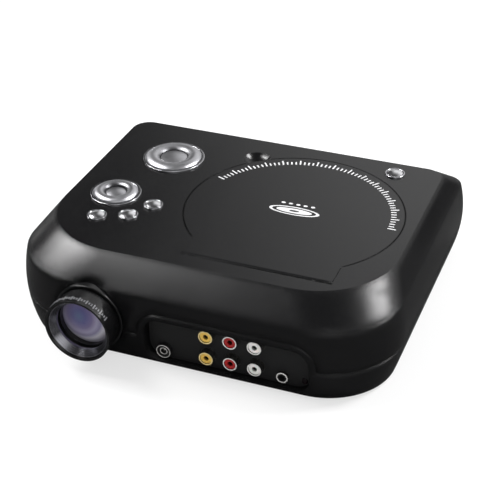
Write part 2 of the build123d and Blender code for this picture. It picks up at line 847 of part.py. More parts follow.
# ---------------------------------------------------------------- keys
def cap(centre, inner, outer, rim_rise, crown, foot, catch_radius, stems):
    """Turned key cap: domed top, catch under the case, and stems down to the switches."""
    x, y = centre
    rim = top_z + rim_rise
    catch_top = foot + catch_thick
    with BuildPart() as key:
        with BuildSketch(Plane(origin=(x, y, 0), x_dir=(1, 0, 0), z_dir=(0, -1, 0))):
            with BuildLine():
                Polyline(
                    (inner, rim), (inner, foot), (catch_radius, foot), (catch_radius, catch_top),
                    (outer, catch_top), (outer, rim),
                )
                if inner:
                    ThreePointArc((outer, rim), ((inner + outer) / 2, rim + crown), (inner, rim))
                else:
                    dome = (outer**2 + crown**2) / (2 * crown)
                    half = outer / 2
                    sag = dome - sqrt(dome**2 - half**2)
                    Line((inner, rim), (inner, rim + crown))
                    ThreePointArc((inner, rim + crown), (half, rim + crown - sag), (outer, rim))
            make_face()
        revolve(axis=Axis((x, y, 0), (0, 0, 1)))
        for stem_x, stem_y in stems:
            add(post(x + stem_x, y + stem_y, stem_z, foot, stem_radius))
    return key.part


def bezel(centre, opening, lip):
    """Bright ring pressed into the top: a rounded lip on the face and a sleeve through it."""
    x, y = centre
    with BuildPart() as ring:
        add(post(x, y, roof_z, top_z, opening + bezel_wall, opening))
        add(post(x, y, top_z, top_z + bezel_height, opening + lip, opening))
        fillet(ring.edges().group_by(Axis.Z)[-1], bezel_round)
    return ring.part


def cross(radius):
    return [(radius, 0), (0, radius), (-radius, 0), (0, -radius)]


cap_foot = roof_z - catch_clear - catch_thick
core_foot = cap_foot - key_travel - 2 * key_gap - catch_thick
ring_cap = ring_open - key_gap
small_cap = small_open - key_gap
key_cap = key_open - key_gap
power_cap = power_open - key_gap
ring_stems = cross((ring_core + ring_cap) / 2)
small_stems = cross((small_ring_core + small_cap) / 2 + stem_radius / 2)

menu_ring = cap(
    ring_centre, ring_core + key_gap, ring_cap, ring_rise, ring_crown, cap_foot,
    ring_cap + key_catch, ring_stems,
)
finish(menu_ring, "menu_ring")
menu_button = cap(
    ring_centre, 0, ring_core, core_rise, core_crown, core_foot, ring_core + key_catch, [(0, 0)],
)
finish(menu_button, "menu_button")
play_ring = cap(
    small_centre, small_ring_core + key_gap, small_cap, ring_rise, ring_crown, cap_foot,
    small_cap + key_catch, small_stems,
)
finish(play_ring, "play_ring")
play_button = cap(
    small_centre, 0, small_ring_core, core_rise, core_crown, core_foot, small_ring_core + key_catch, [(0, 0)],
)
finish(play_button, "play_button")
for centre, name in zip(key_centres, ("left_key", "middle_key", "right_key")):
    finish(cap(
        centre, 0, key_cap, key_rise, key_crown, cap_foot, key_cap + key_catch, [(0, 0)],
    ), name)
power_button = cap(
    power_centre, 0, power_cap, key_rise, key_crown, cap_foot, power_cap + key_catch, [(0, 0)],
)
finish(power_button, "power_button")

finish(bezel(ring_centre, ring_open, ring_lip), "menu_ring_bezel")
finish(bezel(small_centre, small_open, ring_lip), "play_ring_bezel")
finish(bezel(power_centre, power_open, key_lip), "power_bezel")
with BuildPart() as key_bezels:
    for centre in key_centres:
        add(bezel(centre, key_open, key_lip))
finish(key_bezels.part, "key_bezels")

with BuildPart() as key_boards:
    add(block(
        key_board_left, key_board_right, key_board_front, key_board_far, board_z - board_thick, board_z,
    ))
    power_half = power_boss_reach + boss_radius
    add(block(
        power_x - power_half, power_x + power_half,
        power_board_y - 2 * boss_radius, power_board_y + boss_radius, board_z - board_thick, board_z,
    ))
finish(key_boards.part, "key_boards")

switch_places = [(ring_x + x, ring_y + y) for x, y in ring_stems + [(0, 0)]]
switch_places += [(small_ring_x + x, small_ring_y + y) for x, y in small_stems + [(0, 0)]]
switch_places += key_centres + [power_centre]
with BuildPart() as tact_switches:
    for x, y in switch_places:
        half = switch_size / 2
        add(block(x - half, x + half, y - half, y + half, board_z, switch_z))
        add(post(x, y, switch_z, switch_z + plunger_height, plunger_radius))
finish(tact_switches.part, "tact_switches")

# ---------------------------------------------------------------- projection lens
bezel_inner = ring_body + ring_clear
hood_back = lens_front + hood_depth
cell_radius = tube_outer - tube_wall - cell_running
cell_front = hood_back + throat_web + focus_travel + focus_clear
glass_radius = cell_radius - cell_wall - glass_fit
mount_y = box_front - mount_flange


def turned(points):
    """Body of revolution about the lens axis from (radius, y) points."""
    with BuildPart() as body:
        with BuildSketch(Plane.XY.offset(lens_z)):
            with Locations((lens_x, 0)):
                Polygon(*points, align=None)
        revolve(axis=Axis((lens_x, 0, lens_z), (0, 1, 0)))
    return body.part


def lens_element(y_middle, radius, edge, crown):
    """Lens with two bulging faces, edge thickness edge and bulge crown on each."""
    dome = (radius**2 + crown**2) / (2 * crown)
    half = radius / 2
    sag = dome - sqrt(dome**2 - half**2)
    near = y_middle - edge / 2
    back = y_middle + edge / 2
    with BuildPart() as glass:
        with BuildSketch(Plane(origin=(lens_x, 0, lens_z), x_dir=(1, 0, 0), z_dir=(0, 0, 1))):
            with BuildLine():
                ThreePointArc((0, near - crown), (half, near - crown + sag), (radius, near))
                Line((radius, near), (radius, back))
                ThreePointArc((radius, back), (half, back + crown - sag), (0, back + crown))
                Line((0, back + crown), (0, near - crown))
            make_face()
        revolve(axis=Axis((lens_x, 0, lens_z), (0, 1, 0)))
    return glass.part


with BuildPart() as lens_bezel:
    add(barrel(lens_x, lens_z, front_y - bezel_proud, front_y + bezel_deep, bezel_outer, bezel_inner))
    fillet(lens_bezel.edges().group_by(Axis.Y)[0], bezel_edge)
finish(lens_bezel.part, "lens_bezel")

tube_bore = tube_outer + tube_running
ring_back = lens_front + ring_length
with BuildPart() as focus_ring:
    add(turned([
        (throat_radius, hood_back), (rim_mouth, lens_front), (rim_radius, lens_front),
        (rim_radius, lens_front + rim_length), (ring_body, lens_front + rim_length + ring_clear * 2),
        (ring_body, ring_back), (tube_bore, ring_back), (tube_bore, hood_back + throat_web),
        (throat_radius, hood_back + throat_web),
    ]))
finish(focus_ring.part, "focus_ring")

with BuildPart() as lens_mount:
    tube_front = hood_back + throat_web + ring_clear
    add(barrel(lens_x, lens_z, tube_front, box_front, tube_outer))
    with BuildSketch(facing(mount_y)):
        with Locations((lens_x, lens_z)):
            RectangleRounded(flange_size, box_height, mount_flange)
    extrude(amount=-mount_flange)
    add(barrel(lens_x, lens_z, -far, far, cell_radius + cell_running), mode=Mode.SUBTRACT)
finish(lens_mount.part, "lens_mount")

with BuildPart() as lens_barrel:
    add(barrel(lens_x, lens_z, cell_front, cell_front + cell_length, cell_radius, cell_radius - cell_wall))
finish(lens_barrel.part, "lens_barrel")

glass_inset = glass_edge / 2 + glass_crown
cell_back = cell_front + cell_length
finish(lens_element(cell_front + glass_inset, glass_radius, glass_edge, glass_crown), "front_lens")
finish(lens_element(cell_back - glass_inset, glass_radius, glass_edge, glass_crown), "rear_lens")

# ---------------------------------------------------------------- light path behind the lens
inner_width = box_width - 2 * box_skin
inner_height = box_height - 2 * box_skin


def frame_cut(place, thick, spread):
    """Cross-section of a sheet held in the grooves of the light box."""
    with BuildPart() as sheet:
        with BuildSketch(facing(box_front + place - thick / 2)):
            with Locations((lens_x, lens_z)):
                Rectangle(inner_width + 2 * spread, inner_height + 2 * spread)
        extrude(amount=-thick)
    return sheet.part


with BuildPart() as light_box:
    with BuildSketch(facing(box_front)):
        with Locations((lens_x, lens_z)):
            Rectangle(box_width, box_height)
            Rectangle(inner_width, inner_height, mode=Mode.SUBTRACT)
    extrude(amount=-box_length)
    for place in fresnel_places + (condenser_place,):
        add(frame_cut(place, sheet_thick + 2 * groove_clear, groove + groove_clear), mode=Mode.SUBTRACT)
    add(frame_cut(lcd_place, panel_thick + 2 * groove_clear, groove + groove_clear), mode=Mode.SUBTRACT)
finish(light_box.part, "light_box")

with BuildPart() as fresnel_lenses:
    for place in fresnel_places:
        add(frame_cut(place, sheet_thick, groove))
finish(fresnel_lenses.part, "fresnel_lenses")

finish(frame_cut(lcd_place, panel_thick, groove), "lcd_panel")

with BuildPart() as condenser_lens:
    add(frame_cut(condenser_place, sheet_thick, groove))
    add(lens_element(box_front + condenser_place, inner_height / 2, sheet_thick, condenser_crown))
finish(condenser_lens.part, "condenser_lens")

with BuildPart() as led_lamp:
    add(block(
        lens_x - lamp_size / 2, lens_x + lamp_size / 2, sink_near - lamp_thick, sink_near,
        lens_z - lamp_size / 2, lens_z + lamp_size / 2,
    ))
    add(lens_element(sink_near - lamp_thick, lamp_dome, lamp_thick, lamp_dome / 2))
    add(block(lens_x - lamp_size, lens_x + lamp_size, sink_near, far, 0, far), mode=Mode.SUBTRACT)
finish(led_lamp.part, "led_lamp")

with BuildPart() as heat_sink:
    add(block(
        lens_x - sink_width / 2, lens_x + sink_width / 2, sink_near, sink_near + sink_base,
        sink_low, sink_low + sink_height,
    ))
    fin_pitch = (sink_width - fin_thick) / (fin_count - 1)
    for step in range(fin_count):
        fin_x = lens_x - sink_width / 2 + step * fin_pitch
        add(block(fin_x, fin_x + fin_thick, sink_near, sink_far, sink_low, sink_low + sink_height))
finish(heat_sink.part, "heat_sink")

# ---------------------------------------------------------------- fan
strut_reach = (fan_bore + fan_size / 2) / 2
with BuildPart() as fan_frame:
    with BuildSketch(facing(fan_front)):
        with Locations((lens_x, lens_z)):
            RectangleRounded(fan_size, fan_size, strut_width)
            Circle(fan_bore, mode=Mode.SUBTRACT)
    extrude(amount=-fan_depth)
    with BuildSketch(facing(fan_back - blade_thick)):
        with Locations((lens_x, lens_z)):
            Circle(fan_hub)
            with PolarLocations(0, strut_count):
                with Locations((strut_reach / 2, 0)):
                    Rectangle(strut_reach, strut_width)
    extrude(amount=-blade_thick)
    add(barrel(lens_x, lens_z, fan_front + blade_thick, fan_back - blade_thick, pin_radius))
finish(fan_frame.part, "fan_frame")

rotor_front = fan_front + blade_thick / 2
rotor_back = fan_back - 2 * blade_thick
rotor_middle = (lens_x, (rotor_front + rotor_back) / 2, lens_z)
blade_root = fan_hub - blade_thick
blade_tip = fan_bore - fan_tip_clear
blade_tilt = radians(blade_pitch)
with BuildPart() as fan_rotor:
    for step in range(fan_blades):
        turn = step * 2 * pi / fan_blades
        outward = Vector(cos(turn), 0, sin(turn))
        chord = Vector(-sin(turn), 0, cos(turn)) * cos(blade_tilt) + Vector(0, 1, 0) * sin(blade_tilt)
        with BuildSketch(Plane(origin=rotor_middle, x_dir=outward, z_dir=outward.cross(chord))):
            with Locations(((blade_root + blade_tip) / 2, 0)):
                Rectangle(blade_tip - blade_root, fan_depth)
        extrude(amount=blade_thick / 2, both=True)
    add(block(-far, far, rotor_front, rotor_back, 0, far), mode=Mode.INTERSECT)
    add(barrel(lens_x, lens_z, rotor_front, rotor_back, fan_hub))
    add(barrel(
        lens_x, lens_z, rotor_front + rotor_gap, rotor_back, pin_radius + pin_running,
    ), mode=Mode.SUBTRACT)
finish(fan_rotor.part, "fan_rotor")

# ---------------------------------------------------------------- jack plate and jacks
rca_x = bay_left + rca_in_bay
rca_z = base_z + rca_rise
dc_x = bay_left + dc_in_bay
dc_z = base_z + dc_rise
phone_x = bay_left + phone_in_bay
phone_z = base_z + phone_rise
window_x = bay_left + window_in_bay
rca_columns = [rca_x + step * rca_pitch_x for step in (-1, 0, 1)]
rca_rows = [rca_z + step * rca_pitch_z / 2 for step in (1, -1)]
rca_places = [(x, z) for x in rca_columns for z in rca_rows]
rca_front = panel_y - rca_reach

with BuildPart() as jack_plate:
    extrude(bay_outline(panel_y, plate_margin, floor_z), amount=-plate_thick)
    for x, z in rca_places:
        add(barrel(x, z, panel_y, plate_back, rca_collar + jack_fit), mode=Mode.SUBTRACT)
    add(barrel(dc_x, dc_z, panel_y, plate_back, dc_outer + jack_fit), mode=Mode.SUBTRACT)
    add(barrel(phone_x, phone_z, panel_y, plate_back, phone_nose + jack_fit), mode=Mode.SUBTRACT)
    add(barrel(window_x, phone_z, panel_y, plate_back, window_radius + jack_fit), mode=Mode.SUBTRACT)
finish(jack_plate.part, "jack_plate")

with BuildPart() as rca_sleeves:
    for x, z in rca_places:
        add(barrel(x, z, rca_front, plate_back, rca_radius, rca_bore))
        add(barrel(x, z, panel_y, plate_back, rca_collar, rca_bore))
finish(rca_sleeves.part, "rca_sleeves")

for x, name in zip(rca_columns, ("yellow_inserts", "red_inserts", "white_inserts")):
    with BuildPart() as inserts:
        for z in rca_rows:
            add(barrel(x, z, rca_front + insert_set_back, plate_back, rca_bore - insert_fit, insert_hole))
    finish(inserts.part, name)

with BuildPart() as rca_housing:
    add(block(
        rca_columns[0] - rca_block_margin, rca_columns[-1] + rca_block_margin, plate_back,
        plate_back + rca_block_depth, rca_rows[-1] - rca_block_margin, rca_rows[0] + rca_block_margin,
    ))
    for x, z in rca_places:
        add(barrel(x, z, plate_back, plate_back + rca_block_depth / 2, insert_hole), mode=Mode.SUBTRACT)
finish(rca_housing.part, "rca_housing")

dc_front = panel_y - dc_reach
dc_end = dc_front + dc_depth
with BuildPart() as dc_jack:
    add(barrel(dc_x, dc_z, dc_front, plate_back, dc_outer))
    fillet(dc_jack.edges().group_by(Axis.Y)[0], dc_round)
    add(block(
        dc_x - dc_block / 2, dc_x + dc_block / 2, plate_back, dc_end + dc_bore,
        dc_z - dc_block / 2, dc_z + dc_block / 2,
    ))
    add(barrel(dc_x, dc_z, dc_front, dc_end, dc_bore), mode=Mode.SUBTRACT)
    add(barrel(dc_x, dc_z, dc_end, dc_end + dc_pin_radius, dc_pin_radius), mode=Mode.SUBTRACT)
finish(dc_jack.part, "dc_jack")

with BuildPart() as dc_pin:
    add(barrel(dc_x, dc_z, dc_front + dc_pin_radius, dc_end + dc_pin_radius, dc_pin_radius))
    fillet(dc_pin.edges().group_by(Axis.Y)[0], dc_pin_radius / 2)
finish(dc_pin.part, "dc_pin")

phone_front = panel_y - phone_reach
with BuildPart() as headphone_jack:
    add(barrel(phone_x, phone_z, phone_front, plate_back, phone_nose))
    add(block(
        phone_x - phone_block / 2, phone_x + phone_block / 2, plate_back, phone_front + phone_depth + wall,
        phone_z - phone_block / 2, phone_z + phone_block / 2,
    ))
    add(barrel(phone_x, phone_z, phone_front, phone_front + phone_depth, phone_bore), mode=Mode.SUBTRACT)
finish(headphone_jack.part, "headphone_jack")

with BuildPart() as headphone_nut:
    add(barrel(phone_x, phone_z, phone_front + jack_fit, panel_y, phone_nut, phone_nose + jack_fit))
    fillet(headphone_nut.edges().group_by(Axis.Y)[0], phone_round)
finish(headphone_nut.part, "headphone_nut")

with BuildPart() as status_window:
    add(barrel(window_x, phone_z, panel_y - window_reach, plate_back, window_radius))
    fillet(status_window.edges().group_by(Axis.Y)[0], window_round)
finish(status_window.part, "status_window")

# ---------------------------------------------------------------- main board and what stands on it
with BuildPart() as main_board:
    add(block(main_left, main_right, main_front, main_back, board_low, board_top))
finish(main_board.part, "main_board")

with BuildPart() as board_chips:
    for x, y, size, height in chips:
        chip_x = main_left + x
        chip_y = main_front + y
        add(block(
            chip_x - size / 2, chip_x + size / 2, chip_y - size / 2, chip_y + size / 2,
            board_top, board_top + height,
        ))
    for x, y in capacitors:
        add(post(main_left + x, main_front + y, board_top, board_top + capacitor_height, capacitor_radius))
finish(board_chips.part, "board_chips")


def socket(x, width, height, depth, slot_width, slot_height):
    """Open-fronted socket on the board, its mouth in the back wall."""
    left = x - width / 2
    right = x + width / 2
    with BuildPart() as shell:
        add(block(left, right, socket_mouth - depth, socket_mouth, board_top, board_top + height))
        middle = board_top + height / 2
        add(block(
            x - slot_width / 2, x + slot_width / 2, socket_mouth - depth + wall / 2, socket_mouth,
            middle - slot_height / 2, middle + slot_height / 2,
        ), mode=Mode.SUBTRACT)
    return shell.part


with BuildPart() as usb_socket:
    add(socket(usb_x, usb_width, usb_height, usb_depth, usb_width - 2 * usb_skin, usb_height - 2 * usb_skin))
    tongue_z = board_top + usb_height / 2 + usb_tongue_rise
    tongue_half = usb_width / 2 - usb_tongue
    add(block(
        usb_x - tongue_half, usb_x + tongue_half,
        socket_mouth - usb_depth + usb_skin, socket_mouth - usb_tongue, tongue_z, tongue_z + usb_tongue,
    ))
finish(usb_socket.part, "usb_socket")

finish(socket(card_x, card_width, card_height, card_depth, card_slot_width, card_slot_height), "card_socket")

with BuildPart() as speaker:
    add(post(speaker_x, speaker_y, floor_z, floor_z + speaker_rim, speaker_radius))
    add(post(speaker_x, speaker_y, floor_z, floor_z + speaker_height, speaker_magnet))
    fillet(speaker.edges().group_by(Axis.Z)[-1], speaker_round)
finish(speaker.part, "speaker")
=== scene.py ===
import json
from math import cos, pi, radians, sin

import bmesh
import bpy
from mathutils import Matrix, Vector


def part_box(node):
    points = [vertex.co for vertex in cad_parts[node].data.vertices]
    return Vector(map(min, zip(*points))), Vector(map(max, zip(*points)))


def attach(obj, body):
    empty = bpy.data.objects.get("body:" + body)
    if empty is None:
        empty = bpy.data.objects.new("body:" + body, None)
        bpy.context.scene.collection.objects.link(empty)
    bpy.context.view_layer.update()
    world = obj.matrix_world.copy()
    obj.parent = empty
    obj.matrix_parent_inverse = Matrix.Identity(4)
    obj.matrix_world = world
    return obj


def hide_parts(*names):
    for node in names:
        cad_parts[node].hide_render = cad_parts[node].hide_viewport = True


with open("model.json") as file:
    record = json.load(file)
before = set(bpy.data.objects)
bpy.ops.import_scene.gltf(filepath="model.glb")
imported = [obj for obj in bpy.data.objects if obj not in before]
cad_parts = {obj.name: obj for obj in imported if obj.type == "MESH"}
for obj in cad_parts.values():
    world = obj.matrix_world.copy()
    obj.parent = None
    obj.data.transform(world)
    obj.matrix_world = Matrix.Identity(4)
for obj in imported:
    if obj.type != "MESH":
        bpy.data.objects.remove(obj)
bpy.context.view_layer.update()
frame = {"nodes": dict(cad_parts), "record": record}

nodes = frame["nodes"]
record = frame["record"]
mm = 0.001


# ---- places, read from the frame
def middle(node):
    low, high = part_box(node)
    return Vector([(a + b) / 2 for a, b in zip(low, high)])


# in mm and degrees: depths under the lid's top, and the scoop's turn and reach from the lid's middle
layout = {"lidPlate": 2.0, "table": 6.2, "floor": 11.0, "scoopTurn": 129.3, "scoopReach": 67.9}

lidMiddle = middle("turntable")
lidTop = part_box("disc_lid")[1][2]
lidUnder = lidTop - layout["lidPlate"] * mm
tableTop = lidTop - layout["table"] * mm
wellFloor = lidTop - layout["floor"] * mm
scoopTurn = radians(layout["scoopTurn"])
scoopSpot = lidMiddle + Vector((cos(scoopTurn), sin(scoopTurn), 0.0)) * layout["scoopReach"] * mm
lensMiddle = middle("focus_ring")
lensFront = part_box("focus_ring")[0][1]
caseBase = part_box("bottom_case")[0][2]
alongY = Matrix.Rotation(-pi / 2, 4, "X")
print("places read from the frame")


# ---- node helpers
def put(tree, kind, feeds=None, **settings):
    made = tree.nodes.new(kind)
    for name, value in settings.items():
        setattr(made, name, value)
    for key, value in (feeds or {}).items():
        if isinstance(value, bpy.types.NodeSocket):
            tree.links.new(value, made.inputs[key])
        else:
            made.inputs[key].default_value = value
    return made


def nodeGroup(name, inputs, outputs):
    group = bpy.data.node_groups.new(name, "ShaderNodeTree")
    for label, kind, value in inputs:
        socket = group.interface.new_socket(name=label, in_out="INPUT", socket_type=kind)
        if value is not None:
            socket.default_value = value
    for label, kind in outputs:
        group.interface.new_socket(name=label, in_out="OUTPUT", socket_type=kind)
    return group, group.nodes.new("NodeGroupInput"), group.nodes.new("NodeGroupOutput")


def groupNode(tree, group, feeds):
    return put(tree, "ShaderNodeGroup", feeds, node_tree=group)


def blendColours(tree, factor, first, second):
    # sockets 0, 6 and 7 of a colour mix are its factor and its two colours
    feeds = {0: factor, 6: first, 7: second}
    for key in (6, 7):
        if not isinstance(feeds[key], bpy.types.NodeSocket):
            feeds[key] = (*feeds[key], 1.0)
    return put(tree, "ShaderNodeMix", feeds, data_type="RGBA").outputs[2]


def span(tree, value, low, high, toLow=0.0, toHigh=1.0):
    made = put(tree, "ShaderNodeMapRange", {"Value": value, "From Min": low, "From Max": high,
                                            "To Min": toLow, "To Max": toHigh})
    return made.outputs[0]


def mathNode(tree, operation, first, second):
    return put(tree, "ShaderNodeMath", {0: first, 1: second}, operation=operation).outputs[0]


def times(tree, first, second):
    return mathNode(tree, "MULTIPLY", first, second)


def objectPlace(tree):
    return put(tree, "ShaderNodeTexCoord").outputs["Object"]


def axes(tree, vector):
    return put(tree, "ShaderNodeSeparateXYZ", {0: vector}).outputs


def noise(tree, place, scale, detail=2.0, distortion=0.0):
    made = put(tree, "ShaderNodeTexNoise", {"Vector": place, "Scale": scale, "Detail": detail,
                                            "Distortion": distortion})
    return made.outputs[0]


def fromUpright(tree, spot):
    # distance from the upright line through spot
    flat = put(tree, "ShaderNodeVectorMath", {0: objectPlace(tree), 1: (1.0, 1.0, 0.0)},
               operation="MULTIPLY")
    reach = put(tree, "ShaderNodeVectorMath", {0: flat.outputs[0], 1: (spot.x, spot.y, 0.0)},
                operation="DISTANCE")
    return reach.outputs["Value"]


def fromLensAxis(tree, aside=(0.0, 0.0)):
    # distance from the lens axis, or from a line that far aside and above it
    line = (lensMiddle.x + aside[0] * mm, 0.0, lensMiddle.z + aside[1] * mm)
    shifted = put(tree, "ShaderNodeVectorMath", {0: objectPlace(tree), 1: line}, operation="SUBTRACT")
    across = put(tree, "ShaderNodeVectorMath", {0: shifted.outputs[0], 1: (1.0, 0.0, 1.0)},
                 operation="MULTIPLY")
    return put(tree, "ShaderNodeVectorMath", {0: across.outputs[0]}, operation="LENGTH").outputs["Value"]


# ---- shared effects
def makeGrainGroup():
    # fine moulded grain over rounded edges
    group, start, end = nodeGroup(
        "moulded grain",
        [("Scale", "NodeSocketFloat", 2500.0), ("Depth", "NodeSocketFloat", 0.00002),
         ("Edge Radius", "NodeSocketFloat", 0.0003)],
        [("Normal", "NodeSocketVector")])
    rounded = put(group, "ShaderNodeBevel", {"Radius": start.outputs["Edge Radius"]}, samples=4)
    grain = noise(group, objectPlace(group), start.outputs["Scale"], 3.0)
    bump = put(group, "ShaderNodeBump", {"Height": grain, "Distance": start.outputs["Depth"],
                                         "Normal": rounded.outputs[0]})
    group.links.new(bump.outputs[0], end.inputs["Normal"])
    return group


def makeWearGroup():
    # mask along the edges, broken up by noise
    look = {"turned": (0.99, 0.8), "chips": 420.0, "broken": (0.42, 0.62), "least": 0.15}
    group, start, end = nodeGroup(
        "edge wear",
        [("Radius", "NodeSocketFloat", 0.0005), ("Amount", "NodeSocketFloat", 0.5)],
        [("Mask", "NodeSocketFloat")])
    rounded = put(group, "ShaderNodeBevel", {"Radius": start.outputs["Radius"]}, samples=4)
    shape = put(group, "ShaderNodeNewGeometry")
    align = put(group, "ShaderNodeVectorMath", {0: rounded.outputs[0], 1: shape.outputs["Normal"]},
                operation="DOT_PRODUCT")
    edge = span(group, align.outputs["Value"], *look["turned"])
    broken = span(group, noise(group, objectPlace(group), look["chips"], 4.0), *look["broken"],
                  look["least"], 1.0)
    mask = times(group, times(group, edge, broken), start.outputs["Amount"])
    group.links.new(mask, end.inputs["Mask"])
    return group


def makeSmudgeGroup():
    # soft wiped patches and finer hand marks
    look = {"turn": (0.2, 0.1, 0.6), "stretch": (1.0, 0.45, 1.0), "patches": (0.35, 0.65, 0.0, 0.75),
            "fine": 260.0, "marks": (0.3, 0.7, 0.0, 0.25)}
    group, start, end = nodeGroup(
        "hand marks",
        [("Scale", "NodeSocketFloat", 22.0)],
        [("Mask", "NodeSocketFloat")])
    place = objectPlace(group)
    wiped = put(group, "ShaderNodeMapping", {"Vector": place, "Rotation": look["turn"],
                                             "Scale": look["stretch"]})
    patches = span(group, noise(group, wiped.outputs[0], start.outputs["Scale"], 5.0, 0.8), *look["patches"])
    marks = span(group, noise(group, place, look["fine"], 3.0), *look["marks"])
    total = put(group, "ShaderNodeMath", {0: patches, 1: marks}, operation="ADD", use_clamp=True)
    group.links.new(total.outputs[0], end.inputs["Mask"])
    return group


def makeDustGroup():
    # dust on faces that look up
    look = {"up": (0.4, 1.0), "fine": 1100.0, "specks": (0.55, 0.75)}
    group, start, end = nodeGroup(
        "dust",
        [("Amount", "NodeSocketFloat", 0.1)],
        [("Mask", "NodeSocketFloat")])
    shape = put(group, "ShaderNodeNewGeometry")
    up = span(group, axes(group, shape.outputs["Normal"])["Z"], *look["up"])
    specks = span(group, noise(group, objectPlace(group), look["fine"]), *look["specks"])
    mask = times(group, times(group, specks, up), start.outputs["Amount"])
    group.links.new(mask, end.inputs["Mask"])
    return group


def makeBrushGroup():
    # fine lines from turning or brushing, stretched along the axis with the smallest number
    group, start, end = nodeGroup(
        "brushed lines",
        [("Stretch", "NodeSocketVector", (900.0, 900.0, 30.0)), ("Depth", "NodeSocketFloat", 0.00001),
         ("Edge Radius", "NodeSocketFloat", 0.0002)],
        [("Normal", "NodeSocketVector"), ("Tone", "NodeSocketFloat")])
    scaled = put(group, "ShaderNodeVectorMath", {0: objectPlace(group), 1: start.outputs["Stretch"]},
                 operation="MULTIPLY")
    drawn = noise(group, scaled.outputs[0], 3.0, 4.0)
    rounded = put(group, "ShaderNodeBevel", {"Radius": start.outputs["Edge Radius"]}, samples=4)
    bump = put(group, "ShaderNodeBump", {"Height": drawn, "Distance": start.outputs["Depth"],
                                         "Normal": rounded.outputs[0]})
    group.links.new(bump.outputs[0], end.inputs["Normal"])
    group.links.new(drawn, end.inputs["Tone"])
    return group


grainGroup = makeGrainGroup()
wearGroup = makeWearGroup()
smudgeGroup = makeSmudgeGroup()
dustGroup = makeDustGroup()
brushGroup = makeBrushGroup()
print("shared effects made")


# ---- materials
def newMaterial(name):
    material = bpy.data.materials.new(name)
    material.use_nodes = True
    return material, material.node_tree, material.node_tree.nodes["Principled BSDF"]


def reopened(material):
    # a finished material's tree and shader, and the socket that gives its colour
    tree = material.node_tree
    shader = tree.nodes["Principled BSDF"]
    return tree, shader, shader.inputs["Base Color"].links[0].from_socket


def giveFinish(tree, shader, look, colour, marks):
    # colour, and a roughness that follows the hand marks
    rough = span(tree, marks.outputs[0], 0.0, 1.0, look["smooth"], look["rough"])
    tree.links.new(colour, shader.inputs["Base Color"])
    tree.links.new(rough, shader.inputs["Roughness"])


def caseRounding(tree, edge, form):
    # edge radius: wide creases low on the case, fine edges on top and in the scoop
    small, wide = edge * mm, form["crease"] * mm
    height = axes(tree, objectPlace(tree))["Z"]
    lower = span(tree, height, *[lidTop - drop * mm for drop in form["creaseDrop"]], small, wide)
    clear = span(tree, fromUpright(tree, scoopSpot), *[reach * mm for reach in form["scoop"]], small, wide)
    return mathNode(tree, "MINIMUM", lower, clear)


def paintedGapShade(tree, form):
    # mask of the painted dark shade on the two lips beside the round lid gap, ending at the hinge tab
    place = axes(tree, objectPlace(tree))
    off = mathNode(tree, "SUBTRACT", fromUpright(tree, lidMiddle), form["gap"] * mm)
    away = put(tree, "ShaderNodeMath", {0: off}, operation="ABSOLUTE")
    near = span(tree, away.outputs[0], *[width * mm for width in form["lip"]])
    onTop = span(tree, place["Z"], *[lidTop - drop * mm for drop in form["lipDrop"]])
    behindTab = span(tree, place["Y"], *[lidMiddle.y - back * mm for back in form["tab"]])
    return times(tree, times(tree, near, onTop), behindTab)


def mouldedPlastic(name, look):
    material, tree, shader = newMaterial(name)
    rounding = caseRounding(tree, look["edge"], look["form"]) if "form" in look else look["edge"] * mm
    grain = groupNode(tree, grainGroup, {"Scale": look["grain"], "Depth": look["depth"] * mm,
                                         "Edge Radius": rounding})
    wear = groupNode(tree, wearGroup, {"Radius": 2 * look["edge"] * mm, "Amount": look["wear"]})
    marks = groupNode(tree, smudgeGroup, {"Scale": look["patch"]})
    dust = groupNode(tree, dustGroup, {"Amount": look["dust"]})
    body = blendColours(tree, marks.outputs[0], look["colour"], look["shade"])
    dusty = blendColours(tree, dust.outputs[0], body, dustColour)
    worn = blendColours(tree, wear.outputs[0], dusty, look["worn"])
    giveFinish(tree, shader, look, worn, marks)
    tree.links.new(grain.outputs["Normal"], shader.inputs["Normal"])
    if "form" in look:
        # painted gap shade: the colour is black, so metal there mirrors nothing and the lips beside the lid
        # gap stay dark
        tree.links.new(paintedGapShade(tree, look["form"]), shader.inputs["Metallic"])
    shader.inputs["Specular IOR Level"].default_value = look.get("gloss", 0.5)
    shader.inputs["Subsurface Weight"].default_value = look.get("glow", 0.0)
    shader.inputs["Subsurface Scale"].default_value = glowDepth * mm
    return material


def workedMetal(name, look):
    material, tree, shader = newMaterial(name)
    drawn = groupNode(tree, brushGroup, {"Stretch": look["stretch"], "Depth": look["depth"] * mm,
                                         "Edge Radius": look["edge"] * mm})
    marks = groupNode(tree, smudgeGroup, {"Scale": look["patch"]})
    wear = groupNode(tree, wearGroup, {"Radius": 2 * look["edge"] * mm, "Amount": look["wear"]})
    toned = blendColours(tree, drawn.outputs["Tone"], look["shade"], look["colour"])
    worn = blendColours(tree, wear.outputs[0], toned, look["worn"])
    giveFinish(tree, shader, look, worn, marks)
    tree.links.new(drawn.outputs["Normal"], shader.inputs["Normal"])
    shader.inputs["Metallic"].default_value = 1.0
    return material


def clearPlastic(name, look):
    material, tree, shader = newMaterial(name)
    grain = groupNode(tree, grainGroup, {"Scale": look["grain"], "Depth": look["depth"] * mm,
                                         "Edge Radius": look["edge"] * mm})
    marks = groupNode(tree, smudgeGroup, {"Scale": look["patch"]})
    tint = blendColours(tree, marks.outputs[0], look["colour"], look["shade"])
    giveFinish(tree, shader, look, tint, marks)
    tree.links.new(grain.outputs["Normal"], shader.inputs["Normal"])
    shader.inputs["Transmission Weight"].default_value = look["clear"]
    shader.inputs["IOR"].default_value = look["bend"]
    return material


dustColour = (0.35, 0.34, 0.32)
glowDepth = 0.4
